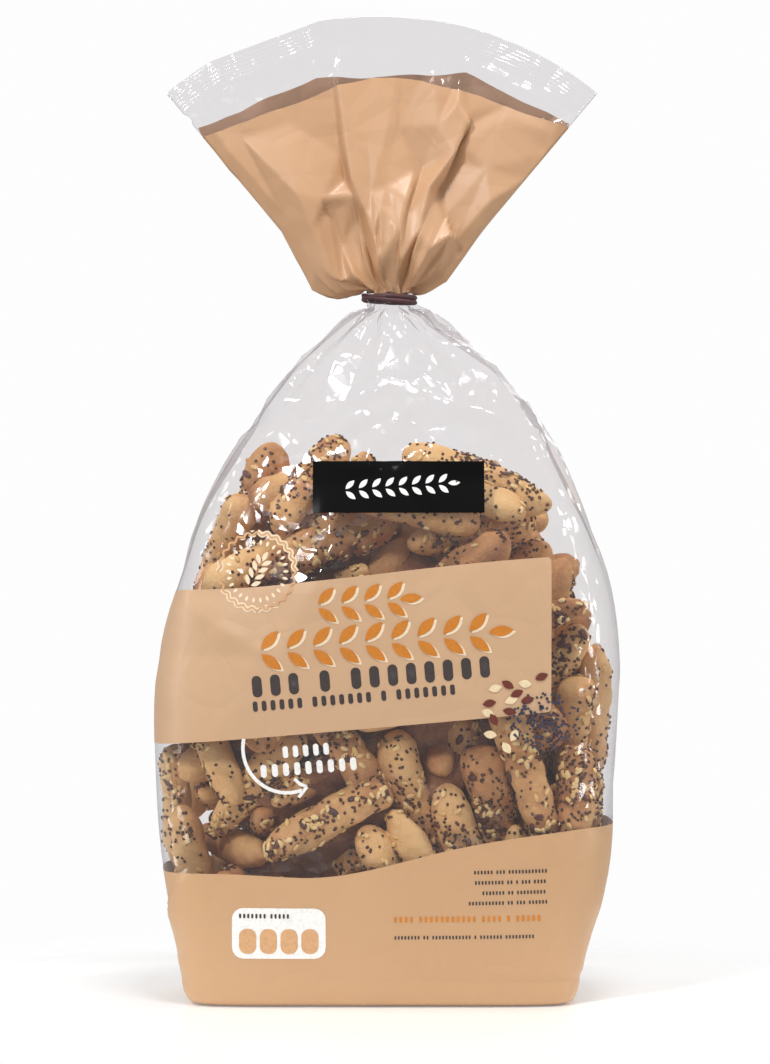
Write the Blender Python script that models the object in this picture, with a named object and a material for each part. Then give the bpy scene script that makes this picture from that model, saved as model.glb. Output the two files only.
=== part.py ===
"""A stand-up bag of mini breadsticks: a clear printed film bag on a flat block bottom, gathered at the neck by a
brown band, with the film above the band fanned out to its sealed header. Metres, +Z up, front facing -Y.

The bag is one closed solid out to the film's outer shape. It is skinned over rings of points: level rings up the
filled body and the shoulder, then arcs that open round one point below the neck for the fan."""

import math
from collections import namedtuple

import bpy

# Driving dimensions
NECK_HEIGHT = 0.2415  # middle of the band
NECK_X = 0.0015  # the bag is gathered a little to the right of the middle
NECK_HALF_WIDTH = 0.0081
NECK_HALF_DEPTH = 0.0072
NECK_LENGTH = 0.0070  # the round stretch that the band grips

FAN_SOURCE_X = -0.0011  # the point that the fan opens round
FAN_SOURCE_HEIGHT = 0.2235
FAN_HALF_ANGLE = math.radians(40)
FAN_RADIUS = 0.1175  # from that point to the header's top edge, along the middle
FAN_LEFT_EXTRA = 0.0050  # how much longer the two corners are
FAN_RIGHT_EXTRA = 0.0085
FAN_START = 0.0235  # radius of the first arc, just above the band
HEADER_HALF_THICKNESS = 0.0007
FAN_FLARE_SHARE = 0.16  # share of the fan's length in which the neck opens to the full angle

PLEAT_LEFT = math.radians(-13)  # the middle pleat lies proud between these two angles
PLEAT_RIGHT = math.radians(19)
PLEAT_RISE = 0.0016
PLEAT_EDGE = math.radians(1.6)
PLEAT_ONSET = 1 / 6  # share of the fan's length in which the pleat comes to its full height
PLEAT_FADE = 0.5  # how much of its height it loses by the header

FAN_OPEN_HALF_DEPTH = 0.0062  # how far the fan's two layers stand apart just above the band
FAN_LAYER_BULGE = 0.0012
FAN_CLOSED_SHARE = 0.75  # share of the fan's length above which the layers lie together
FAN_RING_SPREAD = 1.25  # over 1, the arcs lie closer together near the neck

FLUTES = 11  # gathers round the neck
FLUTE_DEPTH = 0.0009
GATHERS_START = 0.2025  # height at which the shoulder begins to show gathers
GATHERS_SPAN = 0.03
THINNEST_HALF_DEPTH = 0.006
GUSSET_HALF_SHARE = 0.85  # share of the half depth over which a gusset folds in

BAND_GAP = 0.0003
BAND_THICKNESS = 0.0013
BAND_WIDTH = 0.0031
BAND_TILT = math.radians(3)
BAND_GROOVE = 0.0004
BAND_SHOULDER = 0.7  # where a strand's rounding starts, as a share of the band's half width and thickness
BAND_CREST = 0.3

FILM_COLOUR = (0.66, 0.42, 0.25)
BAND_COLOUR = (0.055, 0.022, 0.020)
SHARP_ANGLE = math.radians(40)

SHOULDER_HEIGHT = 0.1475  # where the rings lie closer together
COLUMNS = 64  # points round a ring
BODY_RINGS = 22
SHOULDER_RINGS = 15
FAN_RINGS = 22
BAND_STEPS = 40

# The body's outline. Left, right and half depth are measured from the Z axis; squareness is the exponent of the
# ring's outline, 2 for an oval and more for squarer corners; gusset is how far the side's middle is folded in, as
# a share of the half width.
Station = namedtuple("Station", "height left right half_depth squareness gusset")
BODY = (
    Station(0.000, 0.0640, 0.0615, 0.0335, 9.0, 0.00),
    Station(0.0012, 0.0672, 0.0645, 0.0362, 8.0, 0.00),
    Station(0.004, 0.0690, 0.0660, 0.0372, 7.0, 0.00),
    Station(0.020, 0.0722, 0.0698, 0.0392, 5.0, 0.00),
    Station(0.048, 0.0772, 0.0775, 0.0424, 3.8, 0.00),
    Station(0.075, 0.0796, 0.0800, 0.0438, 3.3, 0.00),
    Station(0.105, 0.0802, 0.0803, 0.0440, 3.1, 0.00),
    Station(0.1275, 0.0775, 0.0810, 0.0432, 3.0, 0.01),
    Station(0.1475, 0.0727, 0.0800, 0.0414, 3.0, 0.04),
    Station(0.1675, 0.0688, 0.0750, 0.0376, 2.9, 0.09),
    Station(0.1875, 0.0592, 0.0670, 0.0316, 2.8, 0.16),
    Station(0.2075, 0.0476, 0.0565, 0.0236, 2.6, 0.22),
    Station(0.2215, 0.0352, 0.0415, 0.0164, 2.4, 0.20),
    Station(0.2315, 0.0200, 0.0265, 0.0110, 2.2, 0.10),
    Station(0.237, 0.0098, 0.0135, 0.0080, 2.0, 0.02),
)


def eased(share):
    """A smooth step from 0 to 1."""
    share = min(max(share, 0.0), 1.0)
    return share * share * (3.0 - 2.0 * share)


def mixed(a, b, share):
    """A value between two values."""
    return a + (b - a) * share


def station_at(height):
    """The body's outline at a height, on a smooth curve through the stations."""
    upper = next((i for i, s in enumerate(BODY) if s.height >= height), len(BODY) - 1)
    upper = max(upper, 1)
    low, high = BODY[upper - 1], BODY[upper]
    before, after = BODY[max(upper - 2, 0)], BODY[min(upper + 1, len(BODY) - 1)]
    span = high.height - low.height
    share = (height - low.height) / span
    values = []
    for k in range(1, len(low)):
        slope_low = (high[k] - before[k]) / max(high.height - before.height, 1e-9) * span
        slope_high = (after[k] - low[k]) / max(after.height - low.height, 1e-9) * span
        cube, square = share**3, share**2
        values.append(
            (2 * cube - 3 * square + 1) * low[k]
            + (cube - 2 * square + share) * slope_low
            + (3 * square - 2 * cube) * high[k]
            + (cube - square) * slope_high
        )
    return Station(height, *values)


def ring_angle(column):
    """The angle of a ring's point, from the right side round by the front."""
    return 2 * math.pi * column / COLUMNS


def signed_power(value, exponent):
    """A power that keeps the value's sign."""
    return math.copysign(abs(value) ** exponent, value)


def body_ring(height):
    """One level ring of the body, from the right side round by the front."""
    at = station_at(height)
    gathers = eased((height - GATHERS_START) / GATHERS_SPAN) * FLUTE_DEPTH
    ring = []
    for column in range(COLUMNS):
        angle = ring_angle(column)
        across = signed_power(math.cos(angle), 2 / at.squareness)
        forward = signed_power(math.sin(angle), 2 / at.squareness)
        fold = at.gusset * max(0.0, 1.0 - abs(forward) / GUSSET_HALF_SHARE)
        half_width = at.right if across > 0 else at.left
        flute = 1 + gathers / max(at.half_depth, THINNEST_HALF_DEPTH) * math.cos(FLUTES * angle)
        ring.append(
            (
                half_width * across * (1 - fold) * flute,
                -at.half_depth * forward * flute,
                height,
            )
        )
    return ring


def neck_ring(height):
    """One ring of the round stretch under the band."""
    return [
        (
            NECK_X + NECK_HALF_WIDTH * math.cos(ring_angle(column)),
            -NECK_HALF_DEPTH * math.sin(ring_angle(column)),
            height,
        )
        for column in range(COLUMNS)
    ]


def pleat_rise(angle):
    """How far the middle pleat stands proud at an angle of the fan."""
    return PLEAT_RISE * (
        eased((angle - PLEAT_LEFT) / PLEAT_EDGE + 0.5)
        - eased((angle - PLEAT_RIGHT) / PLEAT_EDGE + 0.5)
    )


def fan_ring(share):
    """One arc of the fan: share runs from 0 at the neck to 1 at the header's top edge."""
    flare = eased(share / FAN_FLARE_SHARE)
    neck = neck_ring(NECK_HEIGHT + NECK_LENGTH / 2)
    body = 1 - eased(share / FAN_CLOSED_SHARE)
    ring = []
    for column, from_neck in enumerate(neck):
        around = ring_angle(column)
        across, forward = math.cos(around), math.sin(around)
        angle = FAN_HALF_ANGLE * across
        corner = FAN_RIGHT_EXTRA if across > 0 else FAN_LEFT_EXTRA
        radius = mixed(FAN_START, FAN_RADIUS + corner * across**2, share)
        thickness = HEADER_HALF_THICKNESS + FAN_OPEN_HALF_DEPTH * body**2 + FAN_LAYER_BULGE * body
        depth = thickness * signed_power(forward, 0.7)
        flutes = FLUTE_DEPTH * body * math.cos(FLUTES * around) * abs(forward)
        rise = pleat_rise(angle) * (1 - PLEAT_FADE * share) * eased(share / PLEAT_ONSET) if forward > 0 else 0.0
        opened = (
            FAN_SOURCE_X + radius * math.sin(angle),
            -(depth + rise) + flutes,
            FAN_SOURCE_HEIGHT + radius * math.cos(angle),
        )
        ring.append(tuple(mixed(a, b, flare) for a, b in zip(from_neck, opened)))
    return ring


def bag_rings():
    """Every ring of the bag from its base to the header's top edge."""
    top = BODY[-1].height
    fillet = [s.height for s in BODY[:3]]
    body = [mixed(fillet[-1], SHOULDER_HEIGHT, i / BODY_RINGS) for i in range(1, BODY_RINGS + 1)]
    gathered = [mixed(SHOULDER_HEIGHT, top, i / SHOULDER_RINGS) for i in range(1, SHOULDER_RINGS + 1)]
    rings = [body_ring(height) for height in fillet + body + gathered]
    rings += [neck_ring(NECK_HEIGHT + NECK_LENGTH * side) for side in (-0.47, 0.5)]
    rings += [fan_ring((i / FAN_RINGS) ** FAN_RING_SPREAD) for i in range(1, FAN_RINGS + 1)]
    return rings


def skin(name, rings, faces_at_ends):
    """A closed mesh object over rings that all have as many points."""
    count = len(rings[0])
    points = [point for ring in rings for point in ring]
    faces = []
    for low in range(len(rings) - 1):
        for column in range(count):
            after = (column + 1) % count
            faces.append(
                (
                    low * count + column,
                    low * count + count + column,
                    low * count + count + after,
                    low * count + after,
                )
            )
    mesh = bpy.data.meshes.new(name)
    mesh.from_pydata(points, [], faces + faces_at_ends)
    mesh.update()
    made = bpy.data.objects.new(name, mesh)
    bpy.context.scene.collection.objects.link(made)
    return made


def header_faces(first, count):
    """Closes the thin top edge: each face joins a stretch of the front to the same stretch of the back."""
    faces = [(first, first + 1, first + count - 1)]
    for column in range(1, count // 2 - 1):
        faces.append(
            (
                first + column,
                first + column + 1,
                first + count - column - 1,
                first + count - column,
            )
        )
    faces.append((first + count // 2 - 1, first + count // 2, first + count // 2 + 1))
    return [tuple(reversed(face)) for face in faces]


def surface(name, colour, roughness):
    """A plain material."""
    material = bpy.data.materials.new(name)
    material.use_nodes = True
    shader = material.node_tree.nodes["Principled BSDF"]
    shader.inputs["Base Color"].default_value = (*colour, 1.0)
    shader.inputs["Roughness"].default_value = roughness
    shader.inputs["Metallic"].default_value = 0.0
    return material


def dress(made, material):
    """Gives an object its material and shades it smooth but for its sharp edges."""
    made.data.materials.append(material)
    made.data.shade_smooth()
    made.data.set_sharp_from_angle(angle=SHARP_ANGLE)


def build_bag():
    """The filled film bag with its neck and fan, as one solid."""
    rings = bag_rings()
    base = [tuple(range(COLUMNS))]
    bag = skin("bag", rings, base + header_faces((len(rings) - 1) * COLUMNS, COLUMNS))
    dress(bag, surface("printed_film", FILM_COLOUR, 0.25))
    return bag


def band_profile():
    """The band's cross-section as (outward, upward) points: a flat inner side, and two rounded strands outside."""
    half, out = BAND_WIDTH / 2, BAND_THICKNESS
    return (
        (0.0, -half),
        (out * BAND_SHOULDER, -half),
        (out, -half * BAND_SHOULDER),
        (out, -half * BAND_CREST),
        (out - BAND_GROOVE, 0.0),
        (out, half * BAND_CREST),
        (out, half * BAND_SHOULDER),
        (out * BAND_SHOULDER, half),
        (0.0, half),
    )


def build_band():
    """The elastic band: two strands lying side by side round the neck."""
    profile = band_profile()
    rings = []
    for outward, upward in profile:
        ring = []
        for step in range(BAND_STEPS):
            angle = 2 * math.pi * step / BAND_STEPS
            across = (NECK_HALF_WIDTH + BAND_GAP + outward) * math.cos(angle)
            forward = (NECK_HALF_DEPTH + BAND_GAP + outward) * math.sin(angle)
            ring.append((across, -forward, upward))
        rings.append(ring)
    band = skin("band", rings + rings[:1], [])
    merge_seam(band)
    band.location = (NECK_X, 0.0, NECK_HEIGHT)
    band.rotation_euler = (0.0, BAND_TILT, 0.0)
    dress(band, surface("elastic_band", BAND_COLOUR, 0.4))
    return band


def merge_seam(made):
    """Joins the last ring of a closed profile to its first."""
    weld = made.modifiers.new("seam", "WELD")
    weld.merge_threshold = 1e-6


def main():
    """Clears the scene and builds the bag and its band."""
    for existing in list(bpy.data.objects):
        bpy.data.objects.remove(existing)
    build_bag()
    build_band()


main()
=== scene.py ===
"""Looks of a clear printed film bag of short seeded breadsticks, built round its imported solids.

The film is a grid of rings laid on the bag's solid, creased into flat facets and gathered at the neck.
Inside it lies a heap of breadsticks with sesame, flax and poppy seeds. The tan fields are cut from the
film's own surface, and the smaller print is laid on it. Metres, +Z up, front facing -Y."""

import logging
import math
from dataclasses import dataclass, field
from enum import Enum
from typing import Callable, Optional, Sequence

import bmesh
import bpy
import numpy as np
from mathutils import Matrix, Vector, geometry
from mathutils.bvhtree import BVHTree


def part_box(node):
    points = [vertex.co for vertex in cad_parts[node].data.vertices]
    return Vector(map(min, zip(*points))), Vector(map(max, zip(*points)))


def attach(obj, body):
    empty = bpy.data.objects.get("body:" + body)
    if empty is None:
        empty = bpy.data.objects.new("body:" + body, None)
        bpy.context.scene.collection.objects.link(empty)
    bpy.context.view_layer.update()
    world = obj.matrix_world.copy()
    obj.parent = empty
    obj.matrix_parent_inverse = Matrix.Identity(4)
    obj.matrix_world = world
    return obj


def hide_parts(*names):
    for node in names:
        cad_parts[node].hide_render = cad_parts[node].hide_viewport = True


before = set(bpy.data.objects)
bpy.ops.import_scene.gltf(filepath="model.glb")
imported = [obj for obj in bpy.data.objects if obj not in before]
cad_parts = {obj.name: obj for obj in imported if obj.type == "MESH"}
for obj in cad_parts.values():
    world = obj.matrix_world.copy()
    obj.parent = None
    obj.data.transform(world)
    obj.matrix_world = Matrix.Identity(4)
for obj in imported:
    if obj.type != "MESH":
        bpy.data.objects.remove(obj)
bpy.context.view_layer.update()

LOG = logging.getLogger("bag")
BODY = "root"
Array = np.ndarray
Field = Callable[[Array, Array, Array], Array]


# --------------------------------------------------------------------------------------------------
# Small maths
# --------------------------------------------------------------------------------------------------


def eased(share: Array) -> Array:
    """A smooth step from 0 to 1."""
    share = np.clip(share, 0.0, 1.0)
    return share * share * (3.0 - 2.0 * share)


def unit(vectors: Array) -> Array:
    """Vectors scaled to length 1 along the last axis."""
    return vectors / np.maximum(np.linalg.norm(vectors, axis=-1, keepdims=True), 1e-12)


def pinched(angle: Array) -> Array:
    """A wave of 1 at sharp ridges and -1 in the round hollows between them."""
    return 1.0 - 2.0 * np.abs(np.sin(angle / 2))


def faceted(
    corners: Array, ridges: Sequence[tuple[int, int]], values: Array, across: Array, up: Array
) -> Array:
    """Values over the flat facets between scattered corners, as film lies between its creases.

    Args:
        corners: the corners, two numbers each.
        ridges: pairs of corners that a crease joins.
        values: the numbers that each corner carries.
        across: the columns of the grid to read, rising.
        up: the rows of the grid to read, rising.

    Returns:
        The values at each point of the grid, and 0 outside the corners.
    """
    flat = [Vector(corner) for corner in corners]
    net, _, triangles, sources, _, _ = geometry.delaunay_2d_cdt(flat, ridges, [], 0, 1e-7)
    carried = []
    for place, source in zip(net, sources):
        nearest = source[0] if source else int(np.argmin(((corners - np.array(place)) ** 2).sum(axis=1)))
        carried.append(values[nearest])
    found = np.zeros((len(up), len(across), values.shape[1]))
    for triangle in triangles:
        (ax, ay), (bx, by), (cx, cy) = (net[k] for k in triangle)
        area = (bx - ax) * (cy - ay) - (by - ay) * (cx - ax)
        if abs(area) < 1e-12:
            continue
        columns = slice(*np.searchsorted(across, (min(ax, bx, cx) - 1e-9, max(ax, bx, cx) + 1e-9)))
        rows = slice(*np.searchsorted(up, (min(ay, by, cy) - 1e-9, max(ay, by, cy) + 1e-9)))
        dx, dy = across[columns][None, :] - ax, up[rows][:, None] - ay
        second = ((dx * (cy - ay) - dy * (cx - ax)) / area)[..., None]
        third = ((dy * (bx - ax) - dx * (by - ay)) / area)[..., None]
        inside = (second >= -1e-6) & (third >= -1e-6) & (second + third <= 1 + 1e-6)
        a, b, c = (carried[k] for k in triangle)
        found[rows, columns] = np.where(inside, a + (b - a) * second + (c - a) * third, found[rows, columns])
    return found


def linear(red: int, green: int, blue: int) -> tuple[float, float, float, float]:
    """A display colour of 0 to 255 a channel as a linear one."""
    channels = [c / 255.0 for c in (red, green, blue)]
    return tuple(c / 12.92 if c <= 0.04045 else ((c + 0.055) / 1.055) ** 2.4 for c in channels) + (1.0,)


# --------------------------------------------------------------------------------------------------
# Shader graphs
# --------------------------------------------------------------------------------------------------


class Wire:
    """One output socket of a node graph, with arithmetic that adds Math nodes."""

    def __init__(self, graph: "Graph", socket: bpy.types.NodeSocket) -> None:
        """Wraps a socket of a graph."""
        self.graph = graph
        self.socket = socket

    def _maths(self, operation: str, *terms: "float | Wire") -> "Wire":
        """A Math node over the terms."""
        node = self.graph.node("ShaderNodeMath", {"operation": operation}, dict(enumerate(terms)))
        return Wire(self.graph, node.outputs[0])

    def __add__(self, other: "float | Wire") -> "Wire":
        """This plus another value."""
        return self._maths("ADD", self, other)

    __radd__ = __add__

    def __sub__(self, other: "float | Wire") -> "Wire":
        """This less another value."""
        return self._maths("SUBTRACT", self, other)

    def __rsub__(self, other: "float | Wire") -> "Wire":
        """Another value less this."""
        return self._maths("SUBTRACT", other, self)

    def __mul__(self, other: "float | Wire") -> "Wire":
        """This times another value."""
        return self._maths("MULTIPLY", self, other)

    __rmul__ = __mul__

    def __pow__(self, other: "float | Wire") -> "Wire":
        """This to a power."""
        return self._maths("POWER", self, other)

    def held(self, low: float, high: float) -> "Wire":
        """This value kept between two limits."""
        return self._maths("MINIMUM", self._maths("MAXIMUM", self, low), high)

    def stepped(self, start: float, end: float) -> "Wire":
        """A smooth rise from 0 at start to 1 at end."""
        node = self.graph.node(
            "ShaderNodeMapRange",
            {"interpolation_type": "SMOOTHSTEP"},
            {"Value": self, "From Min": start, "From Max": end, "To Min": 0.0, "To Max": 1.0},
        )
        return Wire(self.graph, node.outputs[0])


class Graph:
    """The node graph of one material, cleared down to its output."""

    def __init__(self, name: str) -> None:
        """Makes a material of that name with an empty graph."""
        self.material = bpy.data.materials.new(name)
        self.material.use_nodes = True
        self.tree = self.material.node_tree
        self.tree.nodes.clear()
        self.output = self.tree.nodes.new("ShaderNodeOutputMaterial")

    def node(
        self, kind: str, settings: Optional[dict] = None, inputs: Optional[dict] = None
    ) -> bpy.types.Node:
        """Adds any node.

        Args:
            kind: the node's type.
            settings: its own settings, set before its sockets; "stops" is a ramp's list of (place, colour).
            inputs: socket names or numbers, each with a value or a wire.

        Returns:
            The new node.
        """
        made = self.tree.nodes.new(kind)
        for key, value in (settings or {}).items():
            if key == "stops":
                ramp = made.color_ramp
                while len(ramp.elements) < len(value):
                    ramp.elements.new(0.5)
                for element, (place, colour) in zip(ramp.elements, value):
                    element.position = place
                    element.color = colour
            else:
                setattr(made, key, value)
        for key, value in (inputs or {}).items():
            if isinstance(value, Wire):
                self.tree.links.new(value.socket, made.inputs[key])
            else:
                made.inputs[key].default_value = value
        return made

    def place(self) -> Wire:
        """The point on the piece, in its own metres."""
        return Wire(self, self.node("ShaderNodeTexCoord").outputs["Object"])

    def attribute(self, name: str) -> Wire:
        """A number stored on the piece's points."""
        return Wire(self, self.node("ShaderNodeAttribute", {"attribute_name": name}).outputs["Fac"])

    def noise(
        self, scale: float, detail: float, roughness: float, stretch: Optional[tuple] = None
    ) -> Wire:
        """Noise over the piece.

        Args:
            scale: bumps for each metre.
            detail: octaves of finer bumps.
            roughness: how strong the finer bumps are.
            stretch: factors on the three axes, for drawn-out bumps.

        Returns:
            A value of about 0 to 1.
        """
        where = self.place()
        if stretch:
            moved = self.node("ShaderNodeMapping", {}, {"Vector": where, "Scale": stretch})
            where = Wire(self, moved.outputs[0])
        sockets = {"Vector": where, "Scale": scale, "Detail": detail, "Roughness": roughness}
        made = self.node("ShaderNodeTexNoise", {}, sockets)
        return Wire(self, made.outputs["Fac"])

    def cells(self, scale: float) -> Wire:
        """Creased cells over the piece: 0 along their straight edges and higher towards their middles.

        Args:
            scale: cells for each metre.

        Returns:
            The distance to the nearest edge, in cells.
        """
        made = self.node(
            "ShaderNodeTexVoronoi", {"feature": "DISTANCE_TO_EDGE"}, {"Vector": self.place(), "Scale": scale}
        )
        return Wire(self, made.outputs["Distance"])

    def ramp(self, value: Wire, stops: Sequence[tuple[float, tuple]]) -> Wire:
        """Colours read along a value."""
        return Wire(self, self.node("ShaderNodeValToRGB", {"stops": stops}, {"Fac": value}).outputs["Color"])

    def mixed(self, share: "float | Wire", first: "tuple | Wire", second: "tuple | Wire") -> Wire:
        """A colour between two colours."""
        node = self.node("ShaderNodeMix", {"data_type": "RGBA"}, {0: share, 6: first, 7: second})
        return Wire(self, node.outputs[2])

    def bump(self, height: Wire, strength: float, distance: float) -> Wire:
        """Normals of a relief."""
        node = self.node("ShaderNodeBump", {}, {"Height": height, "Strength": strength, "Distance": distance})
        return Wire(self, node.outputs["Normal"])

    def principled(self, inputs: dict) -> Wire:
        """A Principled shader with these sockets."""
        return Wire(self, self.node("ShaderNodeBsdfPrincipled", {}, inputs).outputs["BSDF"])

    def send(self, surface: Wire) -> None:
        """Sends a shader to the output."""
        self.tree.links.new(surface.socket, self.output.inputs["Surface"])

    def finish(self, surface: Wire) -> bpy.types.Material:
        """Sends a shader to the output and returns the material."""
        self.send(surface)
        return self.material


class WorldGraph(Graph):
    """The node graph of the scene's world, cleared down to its output."""

    def __init__(self, name: str) -> None:
        """Makes the scene's world with an empty graph."""
        world = bpy.data.worlds.new(name)
        world.use_nodes = True
        bpy.context.scene.world = world
        self.tree = world.node_tree
        self.tree.nodes.clear()
        self.output = self.tree.nodes.new("ShaderNodeOutputWorld")


# --------------------------------------------------------------------------------------------------
# Finishes
# --------------------------------------------------------------------------------------------------


@dataclass(frozen=True)
class ClearFilm:
    """Thin glossy film: mostly open, with a mirror-like gloss and a faint milky haze."""

    haze: float = 0.045
    edge_gloss: float = 0.55
    roughness: float = 0.07
    tint: tuple[float, float, float, float] = (0.90, 0.888, 0.893, 1.0)

    def material(self) -> bpy.types.Material:
        """Builds the film's material.

        Returns:
            The material.
        """
        graph = Graph("clear_film")
        edge = Wire(graph, graph.node("ShaderNodeLayerWeight", {}, {"Blend": 0.35}).outputs["Facing"])
        cloud = graph.noise(22.0, 4.0, 0.6)
        relief = graph.cells(55.0) + graph.cells(130.0) * 0.35
        shader = graph.principled(
            {
                "Base Color": linear(238, 236, 238),
                "Metallic": 0.72,
                "Roughness": (cloud * 0.10 + self.roughness).held(0.05, 0.4),
                "Normal": graph.bump(relief, 1.0, 0.0022),
            }
        )
        cover = (self.haze + cloud * 0.05 + (edge**2.2) * self.edge_gloss).held(0.03, 0.9)
        clear = Wire(graph, graph.node("ShaderNodeBsdfTransparent", {}, {"Color": self.tint}).outputs[0])
        both = graph.node("ShaderNodeMixShader", {}, {0: cover, 1: clear, 2: shader})
        return graph.finish(Wire(graph, both.outputs[0]))


@dataclass(frozen=True)
class TanInk:
    """The tan fields printed on the film, with the film's gloss over them."""

    name: str
    colour: tuple[int, int, int]
    deeper: tuple[int, int, int]

    def material(self) -> bpy.types.Material:
        """Builds the ink's material.

        Returns:
            The material.
        """
        graph = Graph(self.name)
        cloud = graph.noise(14.0, 3.0, 0.5)
        crinkle = graph.cells(70.0)
        colour = graph.mixed(cloud.stepped(0.3, 0.75) * 0.55, linear(*self.colour), linear(*self.deeper))
        shader = graph.principled(
            {
                "Base Color": colour,
                "Roughness": (0.40 + cloud * 0.14).held(0.2, 0.7),
                "Coat Weight": 0.14,
                "Coat Roughness": 0.22,
                "Normal": graph.bump(crinkle, 1.0, 0.0006),
            }
        )
        return graph.finish(shader)


@dataclass(frozen=True)
class PrintInk:
    """One flat ink of the smaller print."""

    name: str
    colour: tuple[int, int, int]
    roughness: float = 0.4
    coat: float = 0.3

    def material(self) -> bpy.types.Material:
        """Builds the ink's material.

        Returns:
            The material.
        """
        graph = Graph(self.name)
        speck = graph.noise(900.0, 2.0, 0.5)
        base = linear(*self.colour)
        worn = tuple(c * 0.86 + 0.001 for c in base[:3]) + (1.0,)
        shader = graph.principled(
            {
                "Base Color": graph.mixed(speck.stepped(0.35, 0.8), base, worn),
                "Roughness": (self.roughness + speck * 0.1).held(0.1, 0.9),
                "Specular IOR Level": self.coat,
                "Coat Weight": self.coat * 0.5,
                "Coat Roughness": 0.15,
            }
        )
        return graph.finish(shader)


@dataclass(frozen=True)
class BakedCrust:
    """Dry crust: pale golden where it is thin and brown where it baked hardest."""

    def material(self) -> bpy.types.Material:
        """Builds the crust's material.

        Returns:
            The material.
        """
        graph = Graph("baked_crust")
        browned = graph.attribute("bake")
        blotch = graph.noise(110.0, 4.0, 0.6)
        grain = graph.noise(1500.0, 3.0, 0.6)
        pores = graph.noise(620.0, 4.0, 0.65)
        level = (browned + (blotch - 0.5) * 0.75 + (pores - 0.5) * 0.25).held(0.0, 1.0)
        colour = graph.ramp(
            level,
            (
                (0.0, linear(246, 206, 146)),
                (0.33, linear(232, 184, 124)),
                (0.62, linear(200, 144, 94)),
                (1.0, linear(132, 84, 58)),
            ),
        )
        shader = graph.principled(
            {
                "Base Color": colour,
                "Roughness": (0.62 + pores * 0.25).held(0.4, 0.95),
                "Specular IOR Level": 0.35,
                "Normal": graph.bump(grain * 0.35 + pores, 0.75, 0.0007),
            }
        )
        return graph.finish(shader)


@dataclass(frozen=True)
class SeedCoat:
    """The coat of one kind of seed."""

    name: str
    colour: tuple[int, int, int]
    deeper: tuple[int, int, int]
    roughness: float

    def material(self) -> bpy.types.Material:
        """Builds the seed coat's material.

        Returns:
            The material.
        """
        graph = Graph(self.name)
        each = graph.attribute("shade")
        streak = graph.noise(1800.0, 2.0, 0.5)
        share = (each * 0.8 + streak * 0.4 - 0.1).held(0.0, 1.0)
        shader = graph.principled(
            {
                "Base Color": graph.mixed(share, linear(*self.colour), linear(*self.deeper)),
                "Roughness": (self.roughness + streak * 0.15).held(0.1, 0.95),
                "Normal": graph.bump(streak, 0.3, 0.0002),
            }
        )
        return graph.finish(shader)


@dataclass(frozen=True)
class BandYarn:
    """The brown elastic's covered yarn."""

    def material(self) -> bpy.types.Material:
        """Builds the yarn's material.

        Returns:
            The material.
        """
        graph = Graph("band_yarn")
        fibre = graph.noise(1400.0, 3.0, 0.6, (0.5, 0.5, 1.6))
        shader = graph.principled(
            {
                "Base Color": graph.mixed(fibre, linear(58, 34, 40), linear(104, 66, 66)),
                "Roughness": (0.45 + fibre * 0.3).held(0.3, 0.9),
                "Normal": graph.bump(fibre, 0.6, 0.0003),
            }
        )
        return graph.finish(shader)


# --------------------------------------------------------------------------------------------------
# Mesh helpers
# --------------------------------------------------------------------------------------------------


def mesh_piece(name: str, points: Array, faces: Sequence, smooth: bool = True) -> bpy.types.Object:
    """A mesh object from points and faces.

    Args:
        name: the object's name.
        points: an array of places.
        faces: lists of point numbers.
        smooth: whether it is shaded smooth.

    Returns:
        The new object, linked to the scene.
    """
    mesh = bpy.data.meshes.new(name)
    mesh.from_pydata(np.asarray(points).tolist(), [], [list(map(int, face)) for face in faces])
    mesh.validate()
    mesh.update()
    mesh.polygons.foreach_set("use_smooth", [smooth] * len(mesh.polygons))
    made = bpy.data.objects.new(name, mesh)
    bpy.context.scene.collection.objects.link(made)
    return made


def store(piece: bpy.types.Object, name: str, values: Array) -> None:
    """Stores one number a point on a piece."""
    layer = piece.data.attributes.new(name, "FLOAT", "POINT")
    layer.data.foreach_set("value", np.asarray(values, np.float32).ravel())


def dress(piece: bpy.types.Object, material: bpy.types.Material) -> bpy.types.Object:
    """Gives a piece its material, and lets it ride on the bag.

    Args:
        piece: the mesh object.
        material: its finish.

    Returns:
        The same object.
    """
    piece.data.materials.append(material)
    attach(piece, BODY)
    LOG.info("%s: %d faces", piece.name, len(piece.data.polygons))
    return piece


def ring_faces(rows: int, columns: int) -> Array:
    """Faces of a grid whose columns close into a ring, facing out."""
    low = (np.arange(rows - 1)[:, None] * columns + np.arange(columns)[None, :]).ravel()
    after = (np.arange(rows - 1)[:, None] * columns + (np.arange(columns)[None, :] + 1) % columns).ravel()
    return np.stack([low, low + columns, after + columns, after], axis=1)


def grid_normals(grid: Array) -> Array:
    """Outward normals of a ring grid of points."""
    around = np.roll(grid, -1, axis=1) - np.roll(grid, 1, axis=1)
    along = np.gradient(grid, axis=0)
    return unit(np.cross(along, around))


# --------------------------------------------------------------------------------------------------
# The film
# --------------------------------------------------------------------------------------------------


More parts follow.
